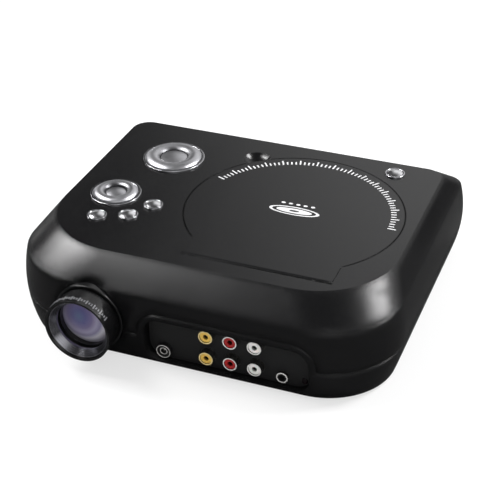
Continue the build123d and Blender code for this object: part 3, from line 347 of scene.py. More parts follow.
# in mm: creases of the case and where they end, and the lips of the lid gap that get a painted dark shade
caseForm = {"crease": 7.0, "creaseDrop": (0.05, 0.3), "scoop": (9.5, 11.0), "gap": 65.15,
            "lip": (0.85, 0.255), "lipDrop": (0.6, 0.2), "tab": (47.5, 46.5)}
plasticLooks = {
    "case_gloss": {"colour": (0.0036, 0.0036, 0.004), "shade": (0.0052, 0.0052, 0.0056),
                   "worn": (0.02, 0.02, 0.021), "smooth": 0.2, "rough": 0.27, "grain": 2600.0,
                   "depth": 0.004, "edge": 0.25, "wear": 0.35, "patch": 16.0, "dust": 0.012, "gloss": 0.36,
                   "form": caseForm},
    "inner_plastic": {"colour": (0.012, 0.012, 0.013), "shade": (0.018, 0.018, 0.019),
                      "worn": (0.04, 0.04, 0.042), "smooth": 0.42, "rough": 0.6, "grain": 1600.0,
                      "depth": 0.02, "edge": 0.2, "wear": 0.4, "patch": 30.0, "dust": 0.04},
    "panel_plastic": {"colour": (0.01, 0.01, 0.0105), "shade": (0.014, 0.014, 0.0145),
                      "worn": (0.03, 0.03, 0.031), "smooth": 0.4, "rough": 0.52, "grain": 1800.0,
                      "depth": 0.015, "edge": 0.2, "wear": 0.3, "patch": 35.0, "dust": 0.02, "gloss": 0.4},
    "lens_plastic": {"colour": (0.0035, 0.0035, 0.0038), "shade": (0.006, 0.006, 0.0065),
                     "worn": (0.05, 0.05, 0.052), "smooth": 0.14, "rough": 0.24, "grain": 2200.0,
                     "depth": 0.006, "edge": 0.3, "wear": 0.5, "patch": 60.0, "dust": 0.02, "gloss": 0.5},
    "rubber": {"colour": (0.016, 0.016, 0.016), "shade": (0.026, 0.026, 0.026),
               "worn": (0.06, 0.06, 0.058), "smooth": 0.68, "rough": 0.85, "grain": 1200.0,
               "depth": 0.04, "edge": 0.3, "wear": 0.5, "patch": 90.0, "dust": 0.08, "gloss": 0.3},
    "chip_plastic": {"colour": (0.012, 0.012, 0.012), "shade": (0.02, 0.02, 0.021),
                     "worn": (0.05, 0.05, 0.05), "smooth": 0.45, "rough": 0.6, "grain": 2400.0,
                     "depth": 0.01, "edge": 0.1, "wear": 0.3, "patch": 120.0, "dust": 0.05},
    "lamp_ceramic": {"colour": (0.75, 0.74, 0.7), "shade": (0.66, 0.65, 0.6),
                     "worn": (0.85, 0.84, 0.8), "smooth": 0.4, "rough": 0.6, "grain": 1500.0,
                     "depth": 0.01, "edge": 0.2, "wear": 0.3, "patch": 80.0, "dust": 0.03},
}
socketLooks = {
    "yellow_plastic": {"colour": (0.75, 0.5, 0.1), "shade": (0.6, 0.38, 0.06),
                       "worn": (0.8, 0.62, 0.25), "smooth": 0.22, "rough": 0.34, "grain": 2200.0,
                       "depth": 0.006, "edge": 0.2, "wear": 0.4, "patch": 160.0, "dust": 0.02, "glow": 0.15},
    "red_plastic": {"colour": (0.4, 0.012, 0.012), "shade": (0.28, 0.009, 0.009),
                    "worn": (0.75, 0.2, 0.18), "smooth": 0.22, "rough": 0.34, "grain": 2200.0,
                    "depth": 0.006, "edge": 0.2, "wear": 0.4, "patch": 160.0, "dust": 0.02, "glow": 0.15},
    "white_plastic": {"colour": (0.78, 0.77, 0.74), "shade": (0.66, 0.65, 0.63),
                      "worn": (0.9, 0.9, 0.88), "smooth": 0.22, "rough": 0.34, "grain": 2200.0,
                      "depth": 0.006, "edge": 0.2, "wear": 0.3, "patch": 160.0, "dust": 0.02, "glow": 0.15},
}
metalLooks = {
    "key_gloss": {"colour": (0.52, 0.52, 0.54), "shade": (0.42, 0.42, 0.44), "worn": (0.65, 0.65, 0.67),
                  "smooth": 0.3, "rough": 0.42, "stretch": (260.0, 260.0, 260.0), "depth": 0.001,
                  "edge": 0.2, "wear": 0.3, "patch": 70.0},
    "bright_trim": {"colour": (0.5, 0.5, 0.52), "shade": (0.42, 0.42, 0.44), "worn": (0.75, 0.75, 0.77),
                    "smooth": 0.1, "rough": 0.2, "stretch": (300.0, 300.0, 300.0), "depth": 0.001,
                    "edge": 0.15, "wear": 0.3, "patch": 90.0},
    "steel": {"colour": (0.55, 0.55, 0.56), "shade": (0.4, 0.4, 0.41), "worn": (0.7, 0.7, 0.7),
              "smooth": 0.22, "rough": 0.4, "stretch": (900.0, 60.0, 900.0), "depth": 0.003,
              "edge": 0.1, "wear": 0.4, "patch": 60.0},
    "nickel": {"colour": (0.74, 0.72, 0.68), "shade": (0.6, 0.58, 0.55), "worn": (0.85, 0.83, 0.8),
               "smooth": 0.14, "rough": 0.28, "stretch": (700.0, 120.0, 700.0), "depth": 0.002,
               "edge": 0.15, "wear": 0.3, "patch": 140.0},
    "aluminium": {"colour": (0.68, 0.69, 0.7), "shade": (0.52, 0.53, 0.54), "worn": (0.8, 0.81, 0.82),
                  "smooth": 0.3, "rough": 0.48, "stretch": (60.0, 60.0, 900.0), "depth": 0.004,
                  "edge": 0.1, "wear": 0.4, "patch": 50.0},
}
clearLooks = {
    "clear_sheet": {"colour": (0.92, 0.94, 0.95), "shade": (0.86, 0.88, 0.9), "smooth": 0.06, "rough": 0.18,
                    "grain": 2500.0, "depth": 0.02, "edge": 0.2, "patch": 60.0, "clear": 0.9, "bend": 1.49},
    "display_glass": {"colour": (0.1, 0.12, 0.14), "shade": (0.06, 0.08, 0.1), "smooth": 0.05,
                      "rough": 0.15, "grain": 3000.0, "depth": 0.002, "edge": 0.2, "patch": 60.0,
                      "clear": 0.4, "bend": 1.52},
    "smoked_window": {"colour": (0.01, 0.006, 0.008), "shade": (0.005, 0.003, 0.004), "smooth": 0.06,
                      "rough": 0.16, "grain": 3000.0, "depth": 0.002, "edge": 0.2, "patch": 60.0,
                      "clear": 0.2, "bend": 1.49},
}


def coatedGlass():
    # blue middle and violet ring, with painted pale highlight crescents towards the lower right and a painted
    # sheen towards grazing angles, all under a clear coat
    look = {"rings": ((0.0, (0.05, 0.1, 0.2)), (0.22, (0.06, 0.06, 0.2)), (0.42, (0.14, 0.11, 0.24)),
                      (0.58, (0.36, 0.33, 0.46)), (0.7, (0.24, 0.22, 0.36)), (0.82, (0.75, 0.73, 0.8)),
                      (1.0, (0.4, 0.38, 0.44))),
            "radius": 19.0, "aside": (-3.2, 3.4), "blend": 0.35, "sheen": (0.28, 0.27, 0.36),
            "patch": 90.0, "smooth": 0.03, "rough": 0.09, "metal": 0.3, "coat": 0.03}
    material, tree, shader = newMaterial("coated_glass")
    share = span(tree, fromLensAxis(tree, look["aside"]), 0.0, look["radius"] * mm)
    ramp = put(tree, "ShaderNodeValToRGB", {0: share})
    stops = ramp.color_ramp.elements
    for index, (place, colour) in enumerate(look["rings"]):
        stop = stops[index] if index < 2 else stops.new(place)
        stop.position = place
        stop.color = (*colour, 1.0)
    # painted sheen: the sheen colour takes over towards grazing angles
    facing = put(tree, "ShaderNodeLayerWeight", {"Blend": look["blend"]})
    coated = blendColours(tree, facing.outputs["Facing"], ramp.outputs[0], look["sheen"])
    giveFinish(tree, shader, look, coated, groupNode(tree, smudgeGroup, {"Scale": look["patch"]}))
    shader.inputs["Metallic"].default_value = look["metal"]
    shader.inputs["Coat Weight"].default_value = 1.0
    shader.inputs["Coat Roughness"].default_value = look["coat"]
    return material


def circuitBoard():
    look = {"mask": (0.004, 0.06, 0.022), "trace": (0.01, 0.11, 0.045), "pads": (0.45, 0.4, 0.3),
            "tracks": 160.0, "gap": 0.05, "holes": 190.0, "dot": (0.1, 0.16), "patch": 50.0,
            "grain": 1500.0, "depth": 0.01, "edge": 0.1, "smooth": 0.28, "rough": 0.45}
    material, tree, shader = newMaterial("circuit_board")
    place = objectPlace(tree)
    tracks = put(tree, "ShaderNodeTexBrick",
                 {"Vector": place, "Scale": look["tracks"], "Mortar Size": look["gap"],
                  "Color1": (0, 0, 0, 1), "Color2": (0, 0, 0, 1), "Mortar": (1, 1, 1, 1)})
    holes = put(tree, "ShaderNodeTexVoronoi", {"Vector": place, "Scale": look["holes"]})
    dots = span(tree, holes.outputs["Distance"], *look["dot"], 1.0, 0.0)
    lined = blendColours(tree, tracks.outputs["Color"], look["mask"], look["trace"])
    grain = groupNode(tree, grainGroup, {"Scale": look["grain"], "Depth": look["depth"] * mm,
                                         "Edge Radius": look["edge"] * mm})
    giveFinish(tree, shader, look, blendColours(tree, dots, lined, look["pads"]),
               groupNode(tree, smudgeGroup, {"Scale": look["patch"]}))
    tree.links.new(dots, shader.inputs["Metallic"])
    tree.links.new(grain.outputs["Normal"], shader.inputs["Normal"])
    return material


def lensRing():
    # black ring whose mouth cone is bare satin metal towards the glass
    look = dict(plasticLooks["lens_plastic"], bare=(0.34, 0.34, 0.37), cone=(17.9, 17.6))
    material = mouldedPlastic("lens_ring", look)
    tree, shader, moulded = reopened(material)
    cone = span(tree, fromLensAxis(tree), look["cone"][0] * mm, look["cone"][1] * mm)
    tree.links.new(blendColours(tree, cone, moulded, look["bare"]), shader.inputs["Base Color"])
    tree.links.new(cone, shader.inputs["Metallic"])
    return material


def ringPad(name, node, look):
    # ring key, with a painted shade that darkens it down the slope towards its centre button
    slope = {"dark": (0.05, 0.05, 0.053), "reach": (0.47, 0.6)}
    material = workedMetal(name, look)
    tree, shader, plated = reopened(material)
    low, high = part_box(node)
    radius = (high[0] - low[0]) / 2
    out = span(tree, fromUpright(tree, middle(node)), *[share * radius for share in slope["reach"]])
    tree.links.new(blendColours(tree, out, slope["dark"], plated), shader.inputs["Base Color"])
    return material


def facedMetal(name, bright):
    # plated front faces, gold where the insert is yellow; the sides and what lies further back get a painted
    # dark shade
    look = dict(metalLooks["nickel"], colour=(0.9, 0.89, 0.87), shade=(0.8, 0.79, 0.77), first=(4.5, 5.5),
                last=(20.5, 19.5), gold=(0.95, 0.76, 0.36), dark=(0.03, 0.029, 0.027), front=(-0.2, -0.7),
                fade=0.2, metal=0.35)
    material = workedMetal(name, look)
    tree, shader, plated = reopened(material)
    place = axes(tree, objectPlace(tree))
    left = span(tree, place["X"], *[x * mm for x in look["first"]])
    right = span(tree, place["X"], *[x * mm for x in look["last"]])
    gilded = blendColours(tree, times(tree, left, right), plated, look["gold"])
    # painted shade: only faces that look to the front, near the front, keep the plated colour
    shape = put(tree, "ShaderNodeNewGeometry")
    front = span(tree, axes(tree, shape.outputs["Normal"])["Y"], *look["front"])
    near = span(tree, place["Y"], bright + look["fade"] * mm, bright)
    unshaded = times(tree, front, near)
    tree.links.new(blendColours(tree, unshaded, look["dark"], gilded), shader.inputs["Base Color"])
    shader.inputs["Metallic"].default_value = look["metal"]
    return material


def socketPlastic(name, look):
    # coloured insert, with a painted shade that darkens it down its bore
    bore = {"dark": (0.01, 0.008, 0.008), "down": (0.4, 2.0)}
    material = mouldedPlastic(name, look)
    tree, shader, moulded = reopened(material)
    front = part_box("white_inserts")[0][1]
    down = span(tree, axes(tree, objectPlace(tree))["Y"], *[front + depth * mm for depth in bore["down"]])
    tree.links.new(blendColours(tree, down, moulded, bore["dark"]), shader.inputs["Base Color"])
    return material


# print on the lid, dimmer print on the lens ring, and the brighter domes of the small keys
printLook = {"colour": (0.68, 0.68, 0.69), "shade": (0.56, 0.56, 0.57), "worn": (0.75, 0.75, 0.75),
             "smooth": 0.35, "rough": 0.5, "grain": 1800.0, "depth": 0.004, "edge": 0.05, "wear": 0.2,
             "patch": 90.0, "dust": 0.0}
ringLook = dict(printLook, colour=(0.2, 0.2, 0.21), shade=(0.12, 0.12, 0.13), worn=(0.3, 0.3, 0.3))
domeLook = dict(metalLooks["key_gloss"], colour=(0.75, 0.75, 0.77), shade=(0.68, 0.68, 0.7),
                smooth=0.16, rough=0.24)
# how far back from the front of each jack its plating stays bright, before the painted dark shade
brightDepth = {"rca_sleeves": 0.8, "dc_jack": 2.0}

materials = {}
for maker, looks in ((mouldedPlastic, plasticLooks), (socketPlastic, socketLooks),
                     (workedMetal, metalLooks), (clearPlastic, clearLooks)):
    for name, look in looks.items():
        materials[name] = maker(name, look)
materials["optic_glass"] = coatedGlass()
materials["circuit_board"] = circuitBoard()
for name, node in (("phono_metal", "rca_sleeves"), ("ring_metal", "dc_jack")):
    materials[name] = facedMetal(name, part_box(node)[0][1] + brightDepth[node] * mm)
materials["lens_ring"] = lensRing()
materials["key_domes"] = workedMetal("key_domes", domeLook)
materials["silk_print"] = mouldedPlastic("silk_print", printLook)
materials["ring_print"] = mouldedPlastic("ring_print", ringLook)
for name in ("menu_ring", "play_ring"):
    materials[name + "_metal"] = ringPad(name + "_metal", name, metalLooks["key_gloss"])

for part in record["subparts"]:
    nodes[part["node"]].data.materials[0] = materials[part["material_slot"]]
ownFinish = {"rca_sleeves": "phono_metal", "headphone_nut": "ring_metal", "focus_ring": "lens_ring",
             "left_key": "key_domes", "middle_key": "key_domes", "right_key": "key_domes",
             "power_button": "key_domes", "menu_ring": "menu_ring_metal", "play_ring": "play_ring_metal"}
for name, finish in ownFinish.items():
    nodes[name].data.materials[0] = materials[finish]
print("materials made and given to", len(record["subparts"]), "nodes")


# ---- mesh helpers
def addPiece(name, mesh, body, slotName, material=None, smooth=35.0, replaced=()):
    data = bpy.data.meshes.new(name)
    bmesh.ops.recalc_face_normals(mesh, faces=mesh.faces)
    mesh.to_mesh(data)
    mesh.free()
    data.materials.append(materials[material or slotName])
    data.shade_smooth()
    data.set_sharp_from_angle(angle=radians(smooth))
    piece = bpy.data.objects.new(name, data)
    bpy.context.scene.collection.objects.link(piece)
    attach(piece, body)
    if replaced:
        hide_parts(*replaced)
    return piece


def lathe(mesh, profile, place, steps=96, first=0.0, last=360.0):
    # closed (radius, height) profile in mm about the third axis of place; a part turn gets flat ends
    whole = last - first == 360.0
    rings = []
    for step in range(steps if whole else steps + 1):
        turn = radians(first + (last - first) * step / steps)
        rings.append([mesh.verts.new(place @ (Vector((r * cos(turn), r * sin(turn), h)) * mm))
                      for r, h in profile])
    count = len(profile)
    for step in range(steps):
        here, there = rings[step], rings[(step + 1) % len(rings)]
        for index in range(count):
            after = (index + 1) % count
            mesh.faces.new((here[index], there[index], there[after], here[after]))
    if not whole:
        mesh.faces.new(rings[0])
        mesh.faces.new(rings[-1][::-1])


def slab(mesh, outline, low, high, place):
    # prism over a closed outline, in mm
    bottom = [mesh.verts.new(place @ (Vector((x, y, low)) * mm)) for x, y in outline]
    top = [mesh.verts.new(place @ (Vector((x, y, high)) * mm)) for x, y in outline]
    mesh.faces.new(top)
    mesh.faces.new(bottom[::-1])
    for index in range(len(outline)):
        after = (index + 1) % len(outline)
        mesh.faces.new((bottom[index], bottom[after], top[after], top[index]))


def bar(length, width, chamfer):
    # rounded-off bar outline along the first axis
    half, side = length / 2, width / 2
    return [(-half, -side + chamfer), (-half + chamfer, -side), (half - chamfer, -side),
            (half, -side + chamfer), (half, side - chamfer), (half - chamfer, side),
            (-half + chamfer, side), (-half, side - chamfer)]


def roundedRing(inner, outer, low, high, rounding):
    # ring section with its two upper edges rounded
    part = 0.3 * rounding
    return [(inner, low), (outer, low), (outer, high - rounding), (outer - part, high - part),
            (outer - rounding, high), (inner + rounding, high), (inner + part, high - part),
            (inner, high - rounding)]


def at(x, y, z):
    return Matrix.Translation((x, y, z))


onLid = at(lidMiddle.x, lidMiddle.y, lidTop)
onLens = at(lensMiddle.x, lensFront, lensMiddle.z) @ alongY


# ---- lid: printed scale and a plain disc motif
def lidScale():
    size = {"inner": 56.8, "long": 5.0, "short": 3.2, "width": 0.95, "corner": 0.12, "high": 0.05,
            "first": 0.0, "last": 158.0, "count": 61, "longEvery": 4}
    mesh = bmesh.new()
    stepAngle = (size["last"] - size["first"]) / (size["count"] - 1)
    for index in range(size["count"]):
        length = size["long"] if index % size["longEvery"] == 0 else size["short"]
        turn = radians(size["first"] + index * stepAngle)
        place = onLid @ Matrix.Rotation(turn, 4, "Z") @ at((size["inner"] + length / 2) * mm, 0, 0)
        slab(mesh, bar(length, size["width"], size["corner"]), 0.0, size["high"], place)
    addPiece("lid_scale", mesh, "lid", "white_plastic", "silk_print")


def ellipse(wide, deep, count=64):
    return [(wide * cos(2 * pi * k / count), deep * sin(2 * pi * k / count)) for k in range(count)]


def ellipseBand(mesh, outer, inner, low, high, place):
    outside, inside = ellipse(*outer), ellipse(*inner)
    corners = []
    for height in (low, high):
        corners.append([mesh.verts.new(place @ (Vector((x, y, height)) * mm)) for x, y in outside])
        corners.append([mesh.verts.new(place @ (Vector((x, y, height)) * mm)) for x, y in inside])
    outLow, inLow, outHigh, inHigh = corners
    for k in range(len(outside)):
        n = (k + 1) % len(outside)
        mesh.faces.new((outHigh[k], outHigh[n], inHigh[n], inHigh[k]))
        mesh.faces.new((outLow[n], outLow[k], inLow[k], inLow[n]))
        mesh.faces.new((outLow[k], outLow[n], outHigh[n], outHigh[k]))
        mesh.faces.new((inLow[n], inLow[k], inHigh[k], inHigh[n]))


def lidMotif():
    # oval disc under a row of dots
    size = {"outer": (15.5, 4.6), "rim": (13.6, 3.7), "band": (11.0, 2.6), "hole": (3.2, 0.9),
            "high": 0.05, "dots": 5, "pitch": 4.6, "back": 7.6, "dot": (1.3, 0.9), "corners": 16}
    mesh = bmesh.new()
    ellipseBand(mesh, size["outer"], size["rim"], 0.0, size["high"], onLid)
    ellipseBand(mesh, size["band"], size["hole"], 0.0, size["high"], onLid)
    for index in range(size["dots"]):
        x = (index - (size["dots"] - 1) / 2) * size["pitch"]
        dot = [(x + u, size["back"] + v) for u, v in ellipse(*size["dot"], size["corners"])]
        slab(mesh, dot, 0.0, size["high"], onLid)
    addPiece("lid_motif", mesh, "lid", "white_plastic", "silk_print")


def lidRibs():
    # stiffening ribs moulded under the lid
    size = {"rings": (24.0, 52.0), "width": 1.2, "drop": 0.7, "spokes": 8, "foot": 0.35, "corner": 0.2}
    under = at(lidMiddle.x, lidMiddle.y, lidUnder)
    mesh = bmesh.new()
    for radius in size["rings"]:
        half, foot = size["width"] / 2, size["foot"] * size["width"]
        lathe(mesh, [(radius - half, 0.0), (radius + half, 0.0), (radius + foot, -size["drop"]),
                     (radius - foot, -size["drop"])], under)
    length = size["rings"][1] - size["rings"][0] - size["width"]
    for index in range(size["spokes"]):
        turn = Matrix.Rotation(2 * pi * (index + 0.5) / size["spokes"], 4, "Z")
        place = under @ turn @ at(sum(size["rings"]) / 2 * mm, 0, 0)
        slab(mesh, bar(length, size["width"], size["corner"]), -size["drop"], 0.0, place)
    addPiece("lid_ribs", mesh, "lid", "case_gloss")


lidScale()
lidMotif()
lidRibs()
print("lid dressed")


# ---- lens: grip, scale marks and baffle rings
def onRim(turn, radius, back):
    # frame of a bar that lies on the ring along the lens axis
    lying = at(radius * mm, 0, back * mm) @ Matrix.Rotation(pi / 2, 4, "Y")
    return onLens @ Matrix.Rotation(turn, 4, "Z") @ lying


def lensGrip():
    size = {"radius": 18.65, "rise": 0.4, "sink": 0.1, "count": 64, "from": 7.4, "to": 13.8, "width": 0.9,
            "corner": 0.25}
    mesh = bmesh.new()
    length = size["to"] - size["from"]
    for index in range(size["count"]):
        place = onRim(2 * pi * index / size["count"], size["radius"], size["from"] + length / 2)
        slab(mesh, bar(length, size["width"], size["corner"]), -size["sink"], size["rise"], place)
    addPiece("focus_grip", mesh, "focus", "lens_plastic")


def lensMarks():
    # raised ticks on top of the rim, every third one long
    size = {"radius": 19.75, "rise": 0.3, "sink": 0.1, "long": 3.4, "short": 1.8, "longEvery": 3,
            "width": 0.75, "corner": 0.2, "start": 32.0, "stop": 148.0, "count": 27, "back": 3.4}
    mesh = bmesh.new()
    for index in range(size["count"]):
        angle = size["start"] + index * (size["stop"] - size["start"]) / (size["count"] - 1)
        length = size["long"] if index % size["longEvery"] == 0 else size["short"]
        place = onRim(-radians(angle), size["radius"], size["back"])
        slab(mesh, bar(length, size["width"], size["corner"]), -size["sink"], size["rise"], place)
    addPiece("focus_marks", mesh, "focus", "lens_plastic", "ring_print")


def lensBaffles():
    # fine steps on the cone of the mouth
    size = {"mouth": 18.3, "throat": 15.4, "front": 0.7, "back": 4.8, "steps": 4, "lip": 0.28,
            "root": 0.35, "lead": 0.1, "edge": 0.2, "tail": 0.35}
    mesh = bmesh.new()
    for index in range(size["steps"]):
        share = (index + 0.5) / size["steps"]
        radius = size["mouth"] + (size["throat"] - size["mouth"]) * share
        place = size["front"] + (size["back"] - size["front"]) * share
        inner, outer = radius - size["lip"], radius + size["root"]
        lathe(mesh, [(outer, place - size["lead"]), (inner, place), (inner, place + size["edge"]),
                     (outer, place + size["tail"])], onLens)
    addPiece("mouth_baffles", mesh, "focus", "lens_plastic", "lens_ring")


lensGrip()
lensMarks()
lensBaffles()
print("lens dressed")


# ---- jacks
def ringAt(mesh, x, y, z, radius, thick, steps=48, corners=10):
    # round wire ring that looks towards the lens side
    turns = [2 * pi * index / corners for index in range(corners)]
    profile = [(radius + thick * cos(turn), thick * sin(turn)) for turn in turns]
    lathe(mesh, profile, at(x, y, z) @ alongY, steps)


def inletRings():
    size = {"outer": 4.05, "outerThick": 0.24, "inner": 2.05, "innerThick": 0.26, "back": 0.5}
    spot, pin = middle("dc_jack"), middle("dc_pin")
    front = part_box("dc_jack")[0][1]
    mesh = bmesh.new()
    ringAt(mesh, spot.x, front, pin.z, size["outer"], size["outerThick"])
    ringAt(mesh, spot.x, front + size["back"] * mm, pin.z, size["inner"], size["innerThick"])
    addPiece("inlet_rings", mesh, "root", "nickel", "ring_metal")


def usbContacts():
    # flat contacts on the tongue, whose top lies above the middle of the socket
    size = {"count": 4, "pitch": 2.4, "width": 1.1, "length": 7.5, "thick": 0.08, "sink": 0.02, "back": 2.0,
            "corner": 0.3, "tongueTop": 1.35}
    low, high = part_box("usb_socket")
    height = (low[2] + high[2]) / 2 + size["tongueTop"] * mm
    y = high[1] - (size["back"] + size["length"] / 2) * mm
    mesh = bmesh.new()
    for index in range(size["count"]):
        x = (low[0] + high[0]) / 2 + (index - (size["count"] - 1) / 2) * size["pitch"] * mm
        slab(mesh, bar(size["length"], size["width"], size["corner"]), -size["sink"], size["thick"],
             at(x, y, height) @ Matrix.Rotation(pi / 2, 4, "Z"))
    addPiece("usb_contacts", mesh, "root", "nickel")


inletRings()
usbContacts()
print("jacks dressed")


# ---- disc well, turntable and pickup
def wellRings():
    # raised ring round the floor, open over the slot of the pickup
    size = {"inner": 57.0, "outer": 57.9, "rise": 0.45, "sink": 0.05, "rounding": 0.25, "steps": 128,
            "first": 102.0, "last": 438.0}
    mesh = bmesh.new()
    lathe(mesh, roundedRing(size["inner"], size["outer"], -size["sink"], size["rise"], size["rounding"]),
          at(lidMiddle.x, lidMiddle.y, wellFloor), size["steps"], size["first"], size["last"])
    addPiece("well_ring", mesh, "root", "inner_plastic")


def tablePad():
    # soft ring that carries the disc
    size = {"inner": 9.2, "outer": 13.4, "rise": 0.12, "sink": 0.05, "rounding": 0.1}
    mesh = bmesh.new()
    lathe(mesh, roundedRing(size["inner"], size["outer"], -size["sink"], size["rise"], size["rounding"]),
          at(lidMiddle.x, lidMiddle.y, tableTop))
    addPiece("table_pad", mesh, "platter", "rubber")


def tableTongues():
    # sprung tongues on the side of the hub
    size = {"count": 3, "length": 1.8, "width": 1.7, "corner": 0.5, "radius": 7.3, "above": 1.5,
            "sink": 0.2, "rise": 0.25}
    mesh = bmesh.new()
    for index in range(size["count"]):
        turn = Matrix.Rotation(2 * pi * index / size["count"], 4, "Z")
        place = at(lidMiddle.x, lidMiddle.y, tableTop) @ turn @ at(size["radius"] * mm, 0, size["above"] * mm)
        slab(mesh, bar(size["length"], size["width"], size["corner"]), -size["sink"], size["rise"],
             place @ Matrix.Rotation(pi / 2, 4, "Y"))
    addPiece("table_tongues", mesh, "platter", "steel")


def lensGuard():
    size = {"inner": 3.3, "outer": 4.0, "rise": 0.7, "sink": 0.1, "rounding": 0.2, "steps": 48}
    spot = middle("objective_lens")
    mesh = bmesh.new()
    lathe(mesh, roundedRing(size["inner"], size["outer"], -size["sink"], size["rise"], size["rounding"]),
          at(spot.x, spot.y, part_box("pickup_sled")[1][2]), size["steps"])
    addPiece("lens_guard", mesh, "sled", "inner_plastic")


def sledScrews():
    # pan heads with a small socket, round the objective
    size = {"count": 3, "reach": 5.2, "offset": 0.5, "head": 0.7, "socket": (0.15, 0.25), "floor": 0.1,
            "rise": 0.3, "sink": 0.1, "steps": 16}
    spot = middle("objective_lens")
    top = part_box("pickup_sled")[1][2]
    narrow, wide = size["socket"]
    profile = [(narrow, size["floor"]), (wide, size["rise"]), (size["head"], size["rise"]),
               (size["head"], -size["sink"]), (narrow, -size["sink"])]
    mesh = bmesh.new()
    for index in range(size["count"]):
        turn = 2 * pi * index / size["count"] + size["offset"]
        place = at(spot.x + size["reach"] * mm * cos(turn), spot.y + size["reach"] * mm * sin(turn), top)
        lathe(mesh, profile, place, size["steps"])
    addPiece("sled_screws", mesh, "sled", "steel")


wellRings()
tablePad()
tableTongues()
lensGuard()
sledScrews()
print("disc deck dressed")


# ---- underside
def bareLabel():
    size = {"wide": 62.0, "deep": 34.0, "thick": 0.12, "sink": 0.02, "corner": 2.0, "back": 20.0}
    mesh = bmesh.new()
    slab(mesh, bar(size["wide"], size["deep"], size["corner"]), -size["thick"], size["sink"],
         at(0.0, size["back"] * mm, caseBase))
    addPiece("label_place", mesh, "root", "white_plastic", "silk_print")


def footRings():
    size = {"inner": 3.4, "outer": 4.6, "deep": 0.35, "slope": 0.2, "inset": 7.0, "steps": 48}
    low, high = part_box("rubber_feet")
    inset = size["inset"] * mm
    profile = [(size["inner"], 0.0), (size["outer"], 0.0), (size["outer"] - size["slope"], size["deep"]),
               (size["inner"] + size["slope"], size["deep"])]
    mesh = bmesh.new()
    for x in (low[0] + inset, high[0] - inset):
        for y in (low[1] + inset, high[1] - inset):
            lathe(mesh, profile, at(x, y, 0.0), size["steps"])
    addPiece("foot_rings", mesh, "root", "rubber")


bareLabel()
footRings()
print("underside dressed")


# ---- studio
def addLight(name, direction, distance, width, height, radiance):
    aim = Vector((0.0, 0.0, 0.03))
    away = Vector(direction).normalized()
    data = bpy.data.lights.new(name, "AREA")
    data.shape = "RECTANGLE"
    data.size = width
    data.size_y = height
    data.energy = radiance * pi * width * height
    light = bpy.data.objects.new(name, data)
    light.location = aim + away * distance
    light.rotation_euler = away.to_track_quat("Z", "Y").to_euler()
    light.visible_camera = False
    bpy.context.scene.collection.objects.link(light)
    return light


def makeWorld():
    # white behind the object; in reflections a pale wall at the back right, dark elsewhere
    look = {"side": (1.0, 0.3, 0.0), "toRight": (-0.17, 0.04), "low": (0.1, 0.38), "top": (0.9, 0.6),
            "horizon": 0.95, "bandEnd": (0.3, 0.55), "behind": (0.1, 0.5), "band": (0.22, 0.08),
            "dark": 0.05, "fill": 0.5}
    world = bpy.data.worlds.new("studio")
    world.use_nodes = True
    bpy.context.scene.world = world
    tree = world.node_tree
    tree.nodes.clear()
    path = put(tree, "ShaderNodeLightPath").outputs
    facing = put(tree, "ShaderNodeTexCoord").outputs["Generated"]
    place = axes(tree, facing)
    across = put(tree, "ShaderNodeVectorMath", {0: facing, 1: look["side"]}, operation="DOT_PRODUCT")
    toRight = span(tree, across.outputs["Value"], *look["toRight"])
    above = span(tree, place["Z"], *look["low"])
    below = span(tree, place["Z"], *look["top"])
    patch = times(tree, times(tree, toRight, above), below)
    toLeft = span(tree, across.outputs["Value"], *look["bandEnd"], look["horizon"], 0.0)
    behind = span(tree, place["Y"], *look["behind"])
    band = span(tree, place["Z"], *look["band"])
    horizon = times(tree, times(tree, toLeft, behind), band)
    mirrored = mathNode(tree, "ADD", mathNode(tree, "ADD", patch, horizon), look["dark"])
    glossy = put(tree, "ShaderNodeMix", {0: path["Is Glossy Ray"], 2: look["fill"], 3: mirrored})
    seen = mathNode(tree, "MAXIMUM", path["Is Camera Ray"], path["Is Transmission Ray"])
    level = put(tree, "ShaderNodeMix", {0: seen, 2: glossy.outputs[0], 3: 1.0})
    back = put(tree, "ShaderNodeBackground", {"Strength": level.outputs[0], "Color": (1, 1, 1, 1)})
    tree.links.new(back.outputs[0], put(tree, "ShaderNodeOutputWorld").inputs[0])


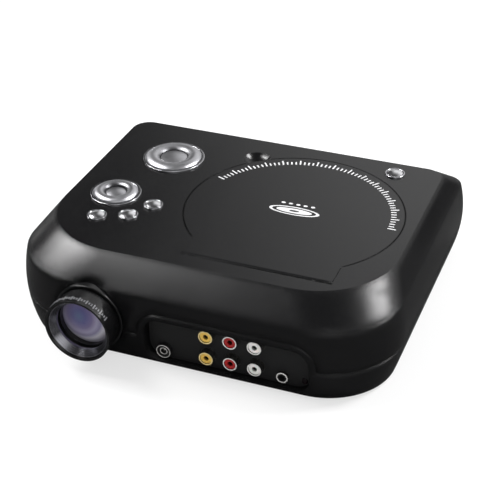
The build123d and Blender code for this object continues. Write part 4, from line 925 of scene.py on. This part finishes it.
def makeFloor():
    # white to the camera with a light shadow, dark in reflections, clear from below
    look = {"half": 6.0, "pale": (0.93, 0.93, 0.93), "spot": (0.9114, 0.9114, 0.9114), "speckle": 40.0,
            "mirrored": (0.075, 0.075, 0.075), "distance": (0.25, 0.8), "glow": (0.66, 1.0),
            "rough": 0.9, "gloss": 0.1}
    mesh = bmesh.new()
    mesh.faces.new([mesh.verts.new((x * look["half"], y * look["half"], 0.0))
                    for x, y in ((-1, -1), (1, -1), (1, 1), (-1, 1))])
    data = bpy.data.meshes.new("floor")
    mesh.to_mesh(data)
    mesh.free()
    floor = bpy.data.objects.new("floor", data)
    bpy.context.scene.collection.objects.link(floor)
    material, tree, shader = newMaterial("studio_floor")
    path = put(tree, "ShaderNodeLightPath").outputs
    place = objectPlace(tree)
    pale = blendColours(tree, noise(tree, place, look["speckle"]), look["pale"], look["spot"])
    colour = blendColours(tree, path["Is Glossy Ray"], pale, look["mirrored"])
    tree.links.new(colour, shader.inputs["Base Color"])
    shader.inputs["Roughness"].default_value = look["rough"]
    shader.inputs["Specular IOR Level"].default_value = look["gloss"]
    glow = put(tree, "ShaderNodeEmission", {"Color": (1.0, 1.0, 1.0, 1.0), "Strength": 1.0})
    distance = put(tree, "ShaderNodeVectorMath", {0: place}, operation="LENGTH")
    whiter = span(tree, distance.outputs["Value"], *look["distance"], *look["glow"])
    share = times(tree, path["Is Camera Ray"], whiter)
    mixed = put(tree, "ShaderNodeMixShader", {0: share, 1: shader.outputs[0], 2: glow.outputs[0]})
    shape = put(tree, "ShaderNodeNewGeometry")
    clear = put(tree, "ShaderNodeBsdfTransparent")
    oneSided = put(tree, "ShaderNodeMixShader", {0: shape.outputs["Backfacing"], 1: mixed.outputs[0],
                                                 2: clear.outputs[0]})
    tree.links.new(oneSided.outputs[0], tree.nodes["Material Output"].inputs["Surface"])
    data.materials.append(material)


def makeCamera():
    view = {"place": (0.24591, -0.61736, 0.45305), "azimuth": 21.18, "elevation": 32.41, "roll": -0.51,
            "lens": 94.12, "sensor": 36.0}
    data = bpy.data.cameras.new("camera")
    data.lens = view["lens"]
    data.sensor_width = view["sensor"]
    camera = bpy.data.objects.new("camera", data)
    turn = Matrix.Rotation(radians(view["azimuth"]), 4, "Z")
    tilt = Matrix.Rotation(radians(90.0 - view["elevation"]), 4, "X")
    roll = Matrix.Rotation(radians(view["roll"]), 4, "Z")
    camera.matrix_world = at(*view["place"]) @ turn @ tilt @ roll
    bpy.context.scene.collection.objects.link(camera)
    bpy.context.scene.camera = camera


makeWorld()
makeFloor()
# direction, distance, width, height and radiance of each light
leftPanels = (((-0.8, 0.24, 0.55), 14.0), ((-0.74, 0.12, 0.66), 24.0), ((-0.66, 0.02, 0.75), 26.0),
              ((-0.57, -0.07, 0.82), 22.0), ((-0.46, -0.17, 0.87), 14.0), ((-0.37, -0.22, 0.9), 3.0))
for index, (direction, radiance) in enumerate(leftPanels):
    addLight(f"left_panel_{index}", direction, 1.4, 0.24, 0.24, radiance)
addLight("right_box", (0.58, 0.38, 0.72), 1.4, 0.44, 0.44, 28.0)
addLight("front_fill", (0.25, -0.8, 0.62), 1.8, 1.2, 0.9, 1.0)
makeCamera()
bpy.context.scene.view_settings.view_transform = "Standard"
print("studio set")
